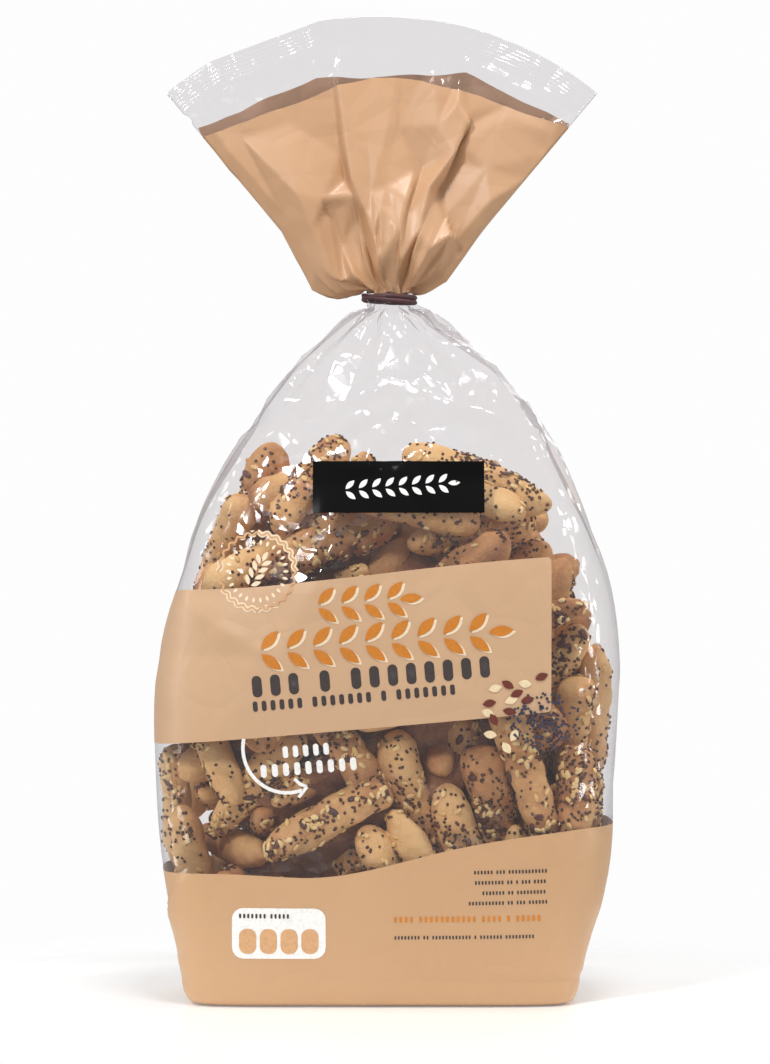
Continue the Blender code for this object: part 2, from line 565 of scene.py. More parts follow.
# Creases of the film's front, each a run of corners: across, up and how far out, in millimetres.
FAN_CREASES = (
    ((-70, 310, 0.0), (-64, 307, 0.4), (-53, 291, 1.6), (-54, 286, 0.2)),
    ((-64, 307, 0.4), (-50, 297, 0.6), (-33, 302, 0.4), (-22, 312, 0.2)),
    ((-36, 267, 0.6), (-35, 271, 1.4), (-30, 277, 4.6), (-21, 274, 4.0), (-11, 277, 2.4)),
    ((-30, 277, 4.6), (-24, 264, 4.2), (-15, 252, 3.0)),
    ((-20, 272, 1.4), (-15, 263, -0.6), (-8, 251, 0.4)),
    ((-29, 260, 1.0), (-21, 254, 3.4), (-10, 252, 1.4)),
    ((-24, 252, 0.8), (-17, 249, 2.6), (-10, 247, 1.4)),
    ((-19, 318, 0.0), (-17, 306, 0.0), (-15.5, 292, -0.4), (-14, 283, -0.6), (-9, 270, -0.6), (-7, 262, 0.0)),
    ((-17, 317, 1.8), (-14.6, 306, 2.8), (-13, 292, 3.4), (-11.5, 283, 3.6), (-6.5, 270, 3.6),
     (-4, 262, 4.0)),
    ((-5, 277, 3.4), (-1.5, 270, 5.0), (-2.5, 262, 3.2), (-1.5, 254, 5.2), (-2, 248, 4.0)),
    ((10, 285, 2.2), (7, 274, 5.0), (5, 264, 4.6)),
    ((1.7, 302, 3.4), (4, 300, 2.0), (13, 286, 0.8), (7, 268, 3.0)),
    ((4, 300, 2.0), (18, 301, 3.2), (25, 309, 3.0)),
    ((25, 309, 3.0), (27, 303, 4.2), (21.5, 292, 4.6), (14.5, 278, 4.4), (11, 263, 5.0), (5, 255, 4.2)),
    ((29, 306, 1.0), (29.5, 302, 0.4), (24, 291, 0.0), (19, 279, -0.4), (21, 270, 0.0), (24, 261, 0.4),
     (19, 252, 0.8)),
    ((22, 263, 4.2), (14.5, 258, 4.6), (9, 249, 4.0)),
    ((35, 286, 1.6), (36, 275, 2.6), (34, 268, 1.0)),
    ((27, 296, 1.6), (42, 304, 0.6), (60, 300, 0.6)),
    ((-6, 296, 3.4), (-2, 286, 4.2), (0, 279, 3.4)),
    ((29, 325, 1.6), (47, 314, 1.8), (61, 304, 1.2)),
    ((27, 320, -0.6), (44, 310, -0.6), (60, 300, 0.0)),
    ((-70, 312, 0.2), (-50, 318, 0.9), (-31, 325, 0.2)),
)
SHOULDER_CREASES = (
    ((30, 226, 0.0), (37.7, 217, 1.4), (37.2, 200, 2.4), (19, 190.5, 2.0), (5.6, 183.6, 1.4),
     (1.7, 180.7, 0.0)),
    ((-14.6, 203, 1.4), (7.5, 209.7, 1.6), (19, 215.5, 0.4)),
    ((-12.7, 198, 1.2), (7, 200, 2.0), (23.8, 204, 1.6), (38, 204, 0.0)),
    ((-47, 191, 0.6), (-35, 195, 2.6), (-20, 199, 1.2), (-14.6, 203, 1.4)),
    ((-43.4, 188.5, 0.4), (-24, 186, 1.6), (-5, 183.6, 1.2), (1.7, 180.7, 0.0)),
    ((-34, 216, -0.6), (-30, 213.5, 1.8), (-25, 215.5, -0.4), (-19.4, 210.7, 1.8), (-14.6, 203, 1.4)),
    ((-16, 222, 1.0), (-9.8, 216.4, -1.0), (-3, 219, 1.6)),
    ((9.4, 224, 1.8), (13.3, 215.5, -0.6), (23.8, 203, 1.6)),
    ((29.6, 223, 1.4), (19, 215.5, 0.4)),
    ((45.9, 205, 0.2), (54.5, 195, 1.8), (56.4, 200, 0.2)),
    ((7.5, 199, 1.4), (10.4, 191.3, -1.2), (14, 184, 0.8)),
    ((-9, 194, -1.2), (-5, 190.4, 1.2), (0, 184.6, -0.6)),
    ((-30, 205, -1.4), (-40, 206, 1.0), (-44, 200, -0.4)),
    ((30, 196, -1.2), (44, 190, 1.0), (56, 186, -0.4)),
    ((-56, 184, 0.6), (-40, 178, -0.8), (-20, 176, 0.4)),
    ((24, 178, -0.4), (42, 180, 0.8), (62, 176, -0.4)),
)


@dataclass
class FanForm:
    """Sizes of the film above the band, which opens round one point below it."""

    source_x: float = -0.0011
    source_z: float = 0.2235
    half_angle: float = math.radians(40)
    radius: float = 0.1164
    left_end: tuple[float, float] = (-0.0802, 0.0923)
    left_bend: tuple[float, float] = (-0.0312, 0.1109)
    right_bend: tuple[float, float] = (0.0294, 0.1130)
    right_end: tuple[float, float] = (0.0821, 0.0962)
    start: float = 0.0235
    flare_share: float = 0.10
    left_bulge: float = math.radians(8)
    bulge_at: float = 0.12
    seal_length: float = 0.0095
    sealed_half: float = 0.0002
    open_half: float = 0.0055
    pleat_left: float = math.radians(-13)
    pleat_right: float = math.radians(19)
    pleat_rise: float = 0.0017
    pleat_edge: float = math.radians(1.5)

    def ring(self, share: float, neck: Array, columns: int) -> Array:
        """One arc of the fan.

        Args:
            share: 0 at the neck to 1 at the header's top edge.
            neck: the neck's ring that the fan grows from.
            columns: points round a ring.

        Returns:
            The ring's points.
        """
        round_share = np.arange(columns) / columns
        across = np.where(round_share < 0.5, 1 - 4 * round_share, -3 + 4 * round_share)
        front = np.where(round_share < 0.5, 1.0, -1.0)
        angle = self.half_angle * across
        radius = self.start + (self.reach(angle) - self.start) * share
        bulge = math.exp(-(((share - self.bulge_at) / 0.10) ** 2))
        angle = angle - self.left_bulge * bulge * np.maximum(-across, 0.0) ** 2
        body = 1 - float(eased(np.array(share / 0.75)))
        half = self.sealed_half + 0.0004 * (1 - share) + self.open_half * body**2 + 0.0012 * body
        depth = front * half * np.maximum(1 - across**2, 0.0) ** 0.35
        rise = self.pleat(angle) * float(eased(np.array(share * 6))) * (1 - 0.5 * share)
        depth = depth + np.where(front > 0, rise, 0.0)
        opened = np.stack(
            [self.source_x + radius * np.sin(angle), -depth, self.source_z + radius * np.cos(angle)], axis=1
        )
        flare = float(eased(np.array(share / self.flare_share)))
        return neck * (1 - flare) + opened * flare

    def reach(self, angle: Array) -> Array:
        """How far the header's top edge lies from the source: an arc between two straight sides."""
        edge = np.full(np.shape(angle), self.radius)
        for (ax, az), (bx, bz) in ((self.left_end, self.left_bend), (self.right_bend, self.right_end)):
            level, slope = np.linalg.solve([[ax, az], [bx, bz]], [1.0, 1.0])
            edge = np.minimum(edge, 1 / np.maximum(level * np.sin(angle) + slope * np.cos(angle), 1e-3))
        return edge

    def pleat(self, angle: Array) -> Array:
        """How far the middle pleat stands proud at an angle."""
        left = eased((angle - self.pleat_left) / self.pleat_edge + 0.5)
        right = eased((angle - self.pleat_right) / self.pleat_edge + 0.5)
        return self.pleat_rise * (left - right)

    def polar(self, x: Array, z: Array) -> tuple[Array, Array]:
        """The angle and the distance of points seen from the fan's source."""
        right, up = x - self.source_x, z - self.source_z
        return np.arctan2(right, up), np.hypot(right, up)


@dataclass
class FilmSheet:
    """The bag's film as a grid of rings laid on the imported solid, then creased and gathered."""

    columns: int = 320
    row_step: float = 0.0014
    neck_x: float = 0.0015
    neck_low: float = 0.2385
    neck_high: float = 0.2447
    fill_height: float = 0.188
    fan: FanForm = field(default_factory=FanForm)
    facet_fine: float = 0.020
    facet_wide: float = 0.034
    facet_fine_height: float = 0.0026
    facet_wide_height: float = 0.0017
    pleat_reach: float = 0.0095
    pleat_depth: float = 0.0019
    fan_depth: float = 1.3
    droop: float = 0.0042
    droop_x: float = -0.0170
    droop_spread: float = 0.0080
    seed: int = 7
    solid: BVHTree = field(init=False)
    rest: Array = field(init=False)
    shaped: Array = field(init=False)
    normals: Array = field(init=False)
    body_rows: int = field(init=False)
    neck_rows: int = field(init=False)
    seal_rows: int = field(init=False)

    def __post_init__(self) -> None:
        """Reads the solid and shapes the film on it."""
        self.solid = solid_tree(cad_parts["bag"])
        self.rest = self._rest_grid()
        self.shaped = self._gathered(self._creased())
        self.normals = grid_normals(self.shaped)

    def _ring_at(self, height: float) -> Array:
        """The solid's outline at a height.

        Args:
            height: the height to cut at.

        Returns:
            Points round the outline, evenly spaced in each quarter.
        """
        count = 480
        centre = Vector((self.neck_x, 0.0, height))
        hits = []
        for step in range(count + 1):
            angle = 2 * math.pi * step / count
            way = Vector((math.cos(angle), -math.sin(angle), 0.0))
            place = self.solid.ray_cast(centre, way)[0]
            hits.append(place if place is not None else centre + way * 0.008)
        outline = np.array(hits)
        run = np.concatenate([[0.0], np.cumsum(np.linalg.norm(np.diff(outline, axis=0), axis=1))])
        quarter = count // 4
        wanted = np.concatenate(
            [
                np.linspace(run[k * quarter], run[(k + 1) * quarter], self.columns // 4, endpoint=False)
                for k in range(4)
            ]
        )
        return np.stack([np.interp(wanted, run, outline[:, axis]) for axis in range(3)], axis=1)

    def _rest_grid(self) -> Array:
        """Lays the unwrinkled film on the solid, from the base up to the header's top edge.

        Returns:
            The film's points: rows up it, columns round it.
        """
        fillet = [0.0003, 0.0012, 0.0025]
        body = list(np.arange(0.004, self.neck_low - 0.0008, self.row_step))
        neck = list(np.linspace(self.neck_low, self.neck_high, 5))
        rings = [self._ring_at(height) for height in fillet + body + neck]
        self.body_rows = len(fillet + body)
        self.neck_rows = len(neck)
        top = rings[-1]
        length = self.fan.radius - self.fan.start
        seal = self.fan.seal_length / length
        open_rows = round((length - self.fan.seal_length) / 0.0014)
        self.seal_rows = round(self.fan.seal_length / 0.0003)
        shares = [(1 - seal) * (k / open_rows) ** 1.15 for k in range(1, open_rows + 1)]
        shares += [1 - seal + seal * k / self.seal_rows for k in range(1, self.seal_rows + 1)]
        rings += [self.fan.ring(share, top, self.columns) for share in shares]
        return np.stack(rings)

    def _corners(self, across: Array, up: Array) -> tuple[list, list, list]:
        """The corners of the film's facets: the chosen creases at the front, and scattered ones elsewhere.

        Args:
            across: where each column lies round the film.
            up: where each row lies up it.

        Returns:
            The corners' row and column, how far out each stands, and pairs of corners joined by a crease.
        """
        rows, columns = self.rest.shape[:2]
        half = columns // 2
        front = self.rest[:, : half + 1][..., [0, 2]]
        corners, heights, ridges = [], [], []
        runs = [(run, self.fan_depth) for run in FAN_CREASES] + [(run, 1.0) for run in SHOULDER_CREASES]
        for run, depth in runs:
            for k, (x, z, out) in enumerate(run):
                away = ((front - np.array((x, z)) * 0.001) ** 2).sum(axis=-1)
                corners.append(divmod(int(np.argmin(away)), half + 1))
                heights.append(out * 0.001 * depth)
                if k:
                    ridges.append((len(corners) - 2, len(corners) - 1))
        chosen = np.array([(across[column], up[row]) for row, column in corners])
        fan_low, seal_low = self.body_rows + self.neck_rows, rows - self.seal_rows - 1
        for row in [fan_low + k for k in range(0, seal_low - fan_low, 8)] + [seal_low, rows - 1]:
            edges = range(0, columns, 6) if row >= seal_low or row == fan_low else (0, half)
            corners += [(row, column) for column in edges]
            heights += [0.0] * len(edges)
        rng = np.random.default_rng(self.seed)
        row = 2
        while row < seal_low - 4:
            head = self.rest[row, 0, 2] > self.fill_height
            pitch = self.facet_fine if head else self.facet_wide
            height = self.facet_fine_height if head else self.facet_wide_height
            count = round(across[-1] / pitch)
            steps = max(2, round(pitch / (up[min(row + 1, rows - 1)] - up[row])))
            for k in range(count):
                column = int((k + rng.uniform(0.1, 0.9)) / count * columns) % columns
                at = min(row + int(rng.uniform(0, steps)), seal_low - 4)
                out = height * rng.uniform(0.0 if at > fan_low else -1.0, 1.0)
                close = np.hypot(chosen[:, 0] - across[column], chosen[:, 1] - up[at]).min() < pitch * 0.6
                in_fan_front = at > fan_low and column < half
                if not close and not in_fan_front:
                    corners.append((at, column))
                    heights.append(out)
            row += steps
        return corners, heights, ridges

    def _creased(self) -> Array:
        """Creases the film: flat facets at the shoulder and fan, and faint ones on the filled body.

        Returns:
            The creased film's points.
        """
        columns = self.columns
        widest = self.rest[self.body_rows // 2]
        girth = np.linalg.norm(np.roll(widest, -1, axis=0) - widest, axis=-1).sum()
        across = np.arange(columns) / columns * girth
        up = np.concatenate([[0.0], np.cumsum(np.linalg.norm(np.diff(self.rest[:, 0], axis=0), axis=1))])
        normals = grid_normals(self.rest)
        found, heights, ridges = self._corners(across, up)
        places = np.array([(across[column], up[row]) for row, column in found])
        carried = np.array(
            [
                [*(self.rest[row, column] + normals[row, column] * out), out]
                for (row, column), out in zip(found, heights)
            ]
        )
        net, values = [places], [carried]
        for turn in (-girth, girth):
            near = np.abs(places[:, 0] + turn - girth / 2) < girth * 0.75
            net.append(places[near] + (turn, 0.0))
            values.append(carried[near])
        read = faceted(np.concatenate(net), ridges, np.concatenate(values), across, up)
        z = self.rest[..., 2]
        covered = np.abs(read[..., :3]).sum(axis=-1) > 1e-9
        middle = up[self.body_rows + self.neck_rows // 2]
        reach = np.abs(up - middle)[:, None]
        shown = eased((reach - 0.004) / 0.012) * covered
        below_seal = eased((up[-self.seal_rows] - up)[:, None] / 0.004)
        flat = (shown * eased((z - self.fill_height) / 0.02) * below_seal)[..., None]
        relief = (shown * eased(up / 0.040)[:, None] * read[..., 3])[..., None]
        return self.rest * (1 - flat) + read[..., :3] * flat + normals * relief * (1 - flat)

    def _gathered(self, grid: Array) -> Array:
        """Adds the gathers at the neck, the header's seal ribs and the fan's slow wave.

        Args:
            grid: the creased film's points.

        Returns:
            The finished film's points.
        """
        angle, radius = self.fan.polar(grid[..., 0], grid[..., 2])
        fan = self.rest[..., 2] > self.neck_high
        reach = self.fan.reach(angle) - radius
        ribbed = eased((reach - 0.0008) / 0.0006) * eased((0.0086 - reach) / 0.0006)
        aside = eased((np.abs(angle - math.radians(3)) - math.radians(15)) / math.radians(1))
        ribs = 0.00022 * ribbed * aside * np.sin(2 * math.pi * reach / 0.0013)
        wave = 0.0026 * eased((radius - 0.030) / 0.06) * np.sin(4.6 * angle + 0.9)
        around = 2 * math.pi * np.arange(self.columns) / self.columns
        waves = np.cos(17 * around) + 0.6 * np.cos(11 * around + 1.0) + 0.4 * np.cos(29 * around)
        flutes = 0.00045 * waves - 0.0005
        broad = pinched(9 * around + 1.3 * np.sin(2 * around))
        narrow = pinched(16 * around + 2.0 * np.sin(3 * around))
        pleats = 0.60 * broad + 0.40 * narrow
        middle = self.body_rows + self.neck_rows // 2
        run = np.concatenate([[0.0], np.cumsum(np.linalg.norm(np.diff(self.rest[:, 0], axis=0), axis=1))])
        away = np.abs(run - run[middle]) / self.pleat_reach
        held = np.exp(-((away / 0.6) ** 2))
        fold = self.pleat_depth * away * np.exp(1 - away) * eased((4.5 - away) / 2)
        moved = grid + grid_normals(self.rest) * (held[:, None] * flutes + fold[:, None] * pleats)[..., None]
        moved[..., 1] += fan * (ribs + wave)
        beside = np.exp(-(((grid[..., 0] - self.droop_x) / self.droop_spread) ** 2))
        moved[..., 2] -= fan * self.droop * beside * eased((0.050 - radius) / 0.015)
        return moved

    def piece(self) -> bpy.types.Object:
        """The whole film as one closed mesh, with its flat bottom.

        Returns:
            The film object.
        """
        rows, columns = self.shaped.shape[:2]
        points = [self.shaped.reshape(-1, 3)]
        faces = ring_faces(rows, columns).tolist()
        first, shares = rows * columns, (0.97, 0.8, 0.55, 0.3, 0.1)
        centre = self.shaped[0].mean(axis=0)
        outer = 0
        for k, share in enumerate(shares):
            ring = centre + (self.shaped[0] - centre) * share
            ring[:, 2] = 0.00015
            points.append(ring)
            inner = first + k * columns
            for column in range(columns):
                after = (column + 1) % columns
                faces.append((inner + column, outer + column, outer + after, inner + after))
            outer = inner
        faces.append(tuple(outer + column for column in range(columns)))
        top = (rows - 1) * columns
        faces.append((top, top + columns - 1, top + 1))
        for k in range(1, columns // 2 - 1):
            faces.append((top + k, top + columns - k, top + columns - k - 1, top + k + 1))
        faces.append((top + columns // 2 - 1, top + columns // 2 + 1, top + columns // 2))
        return mesh_piece("film", np.concatenate(points), faces)

    def cut(self, name: str, inside: Field, proud: float) -> bpy.types.Object:
        """The part of the film where a field is positive, laid just outside it.

        Args:
            name: the new object's name.
            inside: a field of the unwrinkled x, y and z.
            proud: how far outside the film it lies.

        Returns:
            The new object.
        """
        rows, columns = self.shaped.shape[:2]
        points = (self.shaped + self.normals * proud).reshape(-1, 3)
        values = inside(*(self.rest[..., k].ravel() for k in range(3)))
        quads = ring_faces(rows, columns)
        signs = values[quads] >= 0
        kept = quads[signs.all(axis=1)].tolist()
        extra: list[Array] = []
        made: dict[tuple[int, int], int] = {}
        for quad in quads[signs.any(axis=1) & ~signs.all(axis=1)]:
            outline = []
            for a, b in zip(quad, np.roll(quad, -1)):
                if values[a] >= 0:
                    outline.append(int(a))
                if (values[a] >= 0) != (values[b] >= 0):
                    key = (min(a, b), max(a, b))
                    if key not in made:
                        share = values[a] / (values[a] - values[b])
                        made[key] = len(points) + len(extra)
                        extra.append(points[a] + (points[b] - points[a]) * share)
                    outline.append(made[key])
            if len(outline) > 2:
                kept.append(outline)
        points = np.concatenate([points, np.array(extra).reshape(-1, 3)])
        used = np.unique(np.concatenate([np.asarray(face) for face in kept]))
        renumbered = np.full(len(points), -1)
        renumbered[used] = np.arange(len(used))
        return mesh_piece(name, points[used], [[renumbered[v] for v in face] for face in kept])

    def skin_tree(self) -> tuple[BVHTree, Array]:
        """The whole shaped film as a search tree, with the way out at each of its faces."""
        quads = ring_faces(*self.shaped.shape[:2])
        outward = self.normals.reshape(-1, 3)[quads[:, 0]]
        return BVHTree.FromPolygons(self.shaped.reshape(-1, 3).tolist(), quads.tolist()), outward

    def front_tree(self) -> BVHTree:
        """The shaped film's front half, for laying small print on."""
        rows, columns = self.shaped.shape[:2]
        quads = ring_faces(rows, columns)
        front = quads[(quads[:, 0] % columns) < columns // 2]
        return BVHTree.FromPolygons(self.shaped.reshape(-1, 3).tolist(), front.tolist())


def solid_tree(node: bpy.types.Object) -> BVHTree:
    """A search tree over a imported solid."""
    points = [v.co for v in node.data.vertices]
    return BVHTree.FromPolygons(points, [p.vertices for p in node.data.polygons])


# --------------------------------------------------------------------------------------------------
# Breadsticks
# --------------------------------------------------------------------------------------------------


@dataclass(frozen=True)
class FrontStick:
    """One breadstick that shows at the front: its ends across and up, its thickness and how deep it lies."""

    start: tuple[float, float]
    end: tuple[float, float]
    thickness: float
    layer: float = 0.0
    turn: float = 0.0


# Across, up and thickness in metres. Layers count sticks from the film inward, and turn swings the far
# end inward.
FRONT_STICKS = (
    FrontStick((-0.039, 0.190), (-0.050, 0.161), 0.0150, 0.9, 0.3),
    FrontStick((-0.043, 0.170), (-0.062, 0.156), 0.0120, 0.8),
    FrontStick((-0.066, 0.145), (-0.030, 0.158), 0.0142, 0.0),
    FrontStick((-0.039, 0.158), (-0.010, 0.186), 0.0135, 0.25),
    FrontStick((-0.044, 0.148), (0.006, 0.162), 0.0142, 0.0),
    FrontStick((0.001, 0.152), (-0.014, 0.140), 0.0112, 0.15, 0.5),
    FrontStick((0.006, 0.156), (0.030, 0.164), 0.0125, 0.7),
    FrontStick((0.043, 0.156), (0.018, 0.146), 0.0142, 0.0),
    FrontStick((0.064, 0.161), (0.026, 0.172), 0.0155, 0.0),
    FrontStick((0.038, 0.184), (0.040, 0.168), 0.0085, 1.6),
    FrontStick((-0.018, 0.186), (-0.014, 0.168), 0.0105, 1.0),
    FrontStick((0.056, 0.157), (0.038, 0.150), 0.0125, 1.0),
    FrontStick((0.066, 0.145), (0.050, 0.139), 0.0132, 0.5),
    FrontStick((0.074, 0.141), (0.054, 0.134), 0.0085, 0.0),
    FrontStick((0.067, 0.132), (0.054, 0.116), 0.0122, 0.2),
    FrontStick((0.069, 0.121), (0.064, 0.106), 0.0118, 1.0),
    FrontStick((0.073, 0.122), (0.073, 0.090), 0.0100, 0.6),
    FrontStick((0.065, 0.109), (0.067, 0.089), 0.0120, 0.3),
    FrontStick((0.069, 0.084), (0.067, 0.062), 0.0120, 0.1),
    FrontStick((0.059, 0.083), (0.049, 0.094), 0.0150, 0.1),
    FrontStick((0.059, 0.066), (0.055, 0.050), 0.0138, 0.6),
    FrontStick((0.043, 0.092), (0.0405, 0.054), 0.0158, 0.0),
    FrontStick((0.024, 0.096), (0.031, 0.066), 0.0138, 0.7),
    FrontStick((0.004, 0.094), (0.020, 0.053), 0.0145, 0.0),
    FrontStick((-0.040, 0.050), (0.001, 0.077), 0.0125, 0.0),
    FrontStick((-0.020, 0.050), (0.013, 0.068), 0.0150, 0.55),
    FrontStick((-0.039, 0.071), (-0.012, 0.084), 0.0112, 0.4),
    FrontStick((-0.033, 0.091), (-0.046, 0.073), 0.0130, 0.55),
    FrontStick((-0.047, 0.075), (-0.060, 0.088), 0.0120, 0.0),
    FrontStick((-0.060, 0.085), (-0.052, 0.097), 0.0148, 0.15),
    FrontStick((-0.004, 0.093), (-0.020, 0.085), 0.0122, 0.6),
    FrontStick((-0.071, 0.087), (-0.070, 0.066), 0.0110, 1.0),
    FrontStick((-0.069, 0.068), (-0.067, 0.053), 0.0120, 0.9),
    FrontStick((-0.057, 0.055), (-0.047, 0.055), 0.0122, 0.0, 0.9),
    FrontStick((-0.053, 0.067), (-0.052, 0.058), 0.0108, 1.1, 0.8),
    FrontStick((-0.043, 0.069), (-0.043, 0.056), 0.0095, 0.6, 0.4),
)


@dataclass
class StickForm:
    """The rolled and baked shape of one breadstick: a bowed, lumpy rod with two blunt or drawn-out ends."""

    start: Array
    end: Array
    radius: float
    outward: Array
    rng: np.random.Generator
    rings: int = 15
    sides: int = 10

    def __post_init__(self) -> None:
        """Draws the stick's own bow, lumps, ends and browning."""
        rng = self.rng
        axis = self.end - self.start
        self.length = float(np.linalg.norm(axis))
        self.axis = axis / self.length
        helper = np.array([0.0, 0.0, 1.0]) if abs(self.axis[2]) < 0.8 else np.array([1.0, 0.0, 0.0])
        self.first = unit(np.cross(self.axis, helper))
        self.second = np.cross(self.axis, self.first)
        self.bow = rng.uniform(-0.0022, 0.0022, 2)
        self.blunt = rng.uniform(1.3, 3.2, 2)
        self.draw = rng.uniform(0.10, 0.40, 2)
        self.waves = self._waves((1, 4), (0, 4), (0.025, 0.060), 5)
        self.waves += self._waves((5, 12), (2, 6), (0.010, 0.022), 6)
        self.waves += self._waves((14, 28), (4, 11), (0.005, 0.011), 8)
        self.browning = rng.uniform(0.05, 0.48)
        self.facing = math.atan2(np.dot(self.outward, self.second), np.dot(self.outward, self.first))
        self.seeded = self.facing + rng.normal(0.0, 0.9)
        self.clumps = rng.uniform(0.08, 0.92, 3)

    def _waves(self, along: tuple, around: tuple, depth: tuple, count: int) -> list[tuple]:
        """Draws some of the ripples that make up the crust's lumps.

        Args:
            along: fewest and most half waves along the stick.
            around: fewest and most waves round it.
            depth: least and most depth, as a share of the radius.
            count: how many to draw.

        Returns:
            Each ripple's half waves along, waves round, phase and depth.
        """
        rng = self.rng
        return [
            (rng.integers(*along), rng.integers(*around), rng.uniform(0, 2 * math.pi), rng.uniform(*depth))
            for _ in range(count)
        ]

    def width(self, share: Array) -> Array:
        """The rod's width along it, as a share of its full width."""
        to_start = np.clip(share / self.draw[0], 0, 1)
        to_end = np.clip((1 - share) / self.draw[1], 0, 1)
        start = (1 - (1 - to_start) ** self.blunt[0]) ** (1 / 2.0)
        end = (1 - (1 - to_end) ** self.blunt[1]) ** (1 / 2.0)
        return start * end

    def surface(self, share: Array, around: Array) -> Array:
        """Points on the crust.

        Args:
            share: 0 to 1 along the stick.
            around: the angle round it.

        Returns:
            The points.
        """
        lumps = 1.0 + sum(a * np.sin(k * math.pi * share + m * around + p) for k, m, p, a in self.waves)
        size = (self.radius * self.width(share) * lumps)[..., None]
        middle = self.start + self.axis * (self.length * share)[..., None]
        arch = np.sin(math.pi * share)[..., None]
        middle = middle + arch * (self.first * self.bow[0] + self.second * self.bow[1])
        side = self.first * np.cos(around)[..., None] + self.second * np.sin(around)[..., None]
        return middle + side * size

    def mesh(self) -> tuple[Array, Array, Array]:
        """The stick's points, quads and browning.

        Returns:
            The points, the faces as four point numbers each, and a number from 0, pale, to 1, brown, a point.
        """
        steps = np.linspace(0, math.pi, self.rings)
        share = (1 - np.cos(steps)) / 2 * 0.996 + 0.002
        share = 0.55 * share + 0.45 * np.linspace(0.002, 0.998, self.rings)
        around = 2 * math.pi * np.arange(self.sides) / self.sides
        grid_share, grid_around = np.meshgrid(share, around, indexing="ij")
        points = self.surface(grid_share, grid_around)
        ends = np.abs(grid_share - 0.5) * 2
        seeded = (0.5 + 0.5 * np.cos(grid_around - self.seeded)) ** 2
        clumped = sum(np.exp(-(((grid_share - c) / 0.12) ** 2)) for c in self.clumps)
        bake = self.browning + 0.14 * ends**4 + seeded * (0.16 + 0.22 * np.minimum(clumped, 1.0))
        return points.reshape(-1, 3), ring_faces(self.rings, self.sides), bake.ravel()


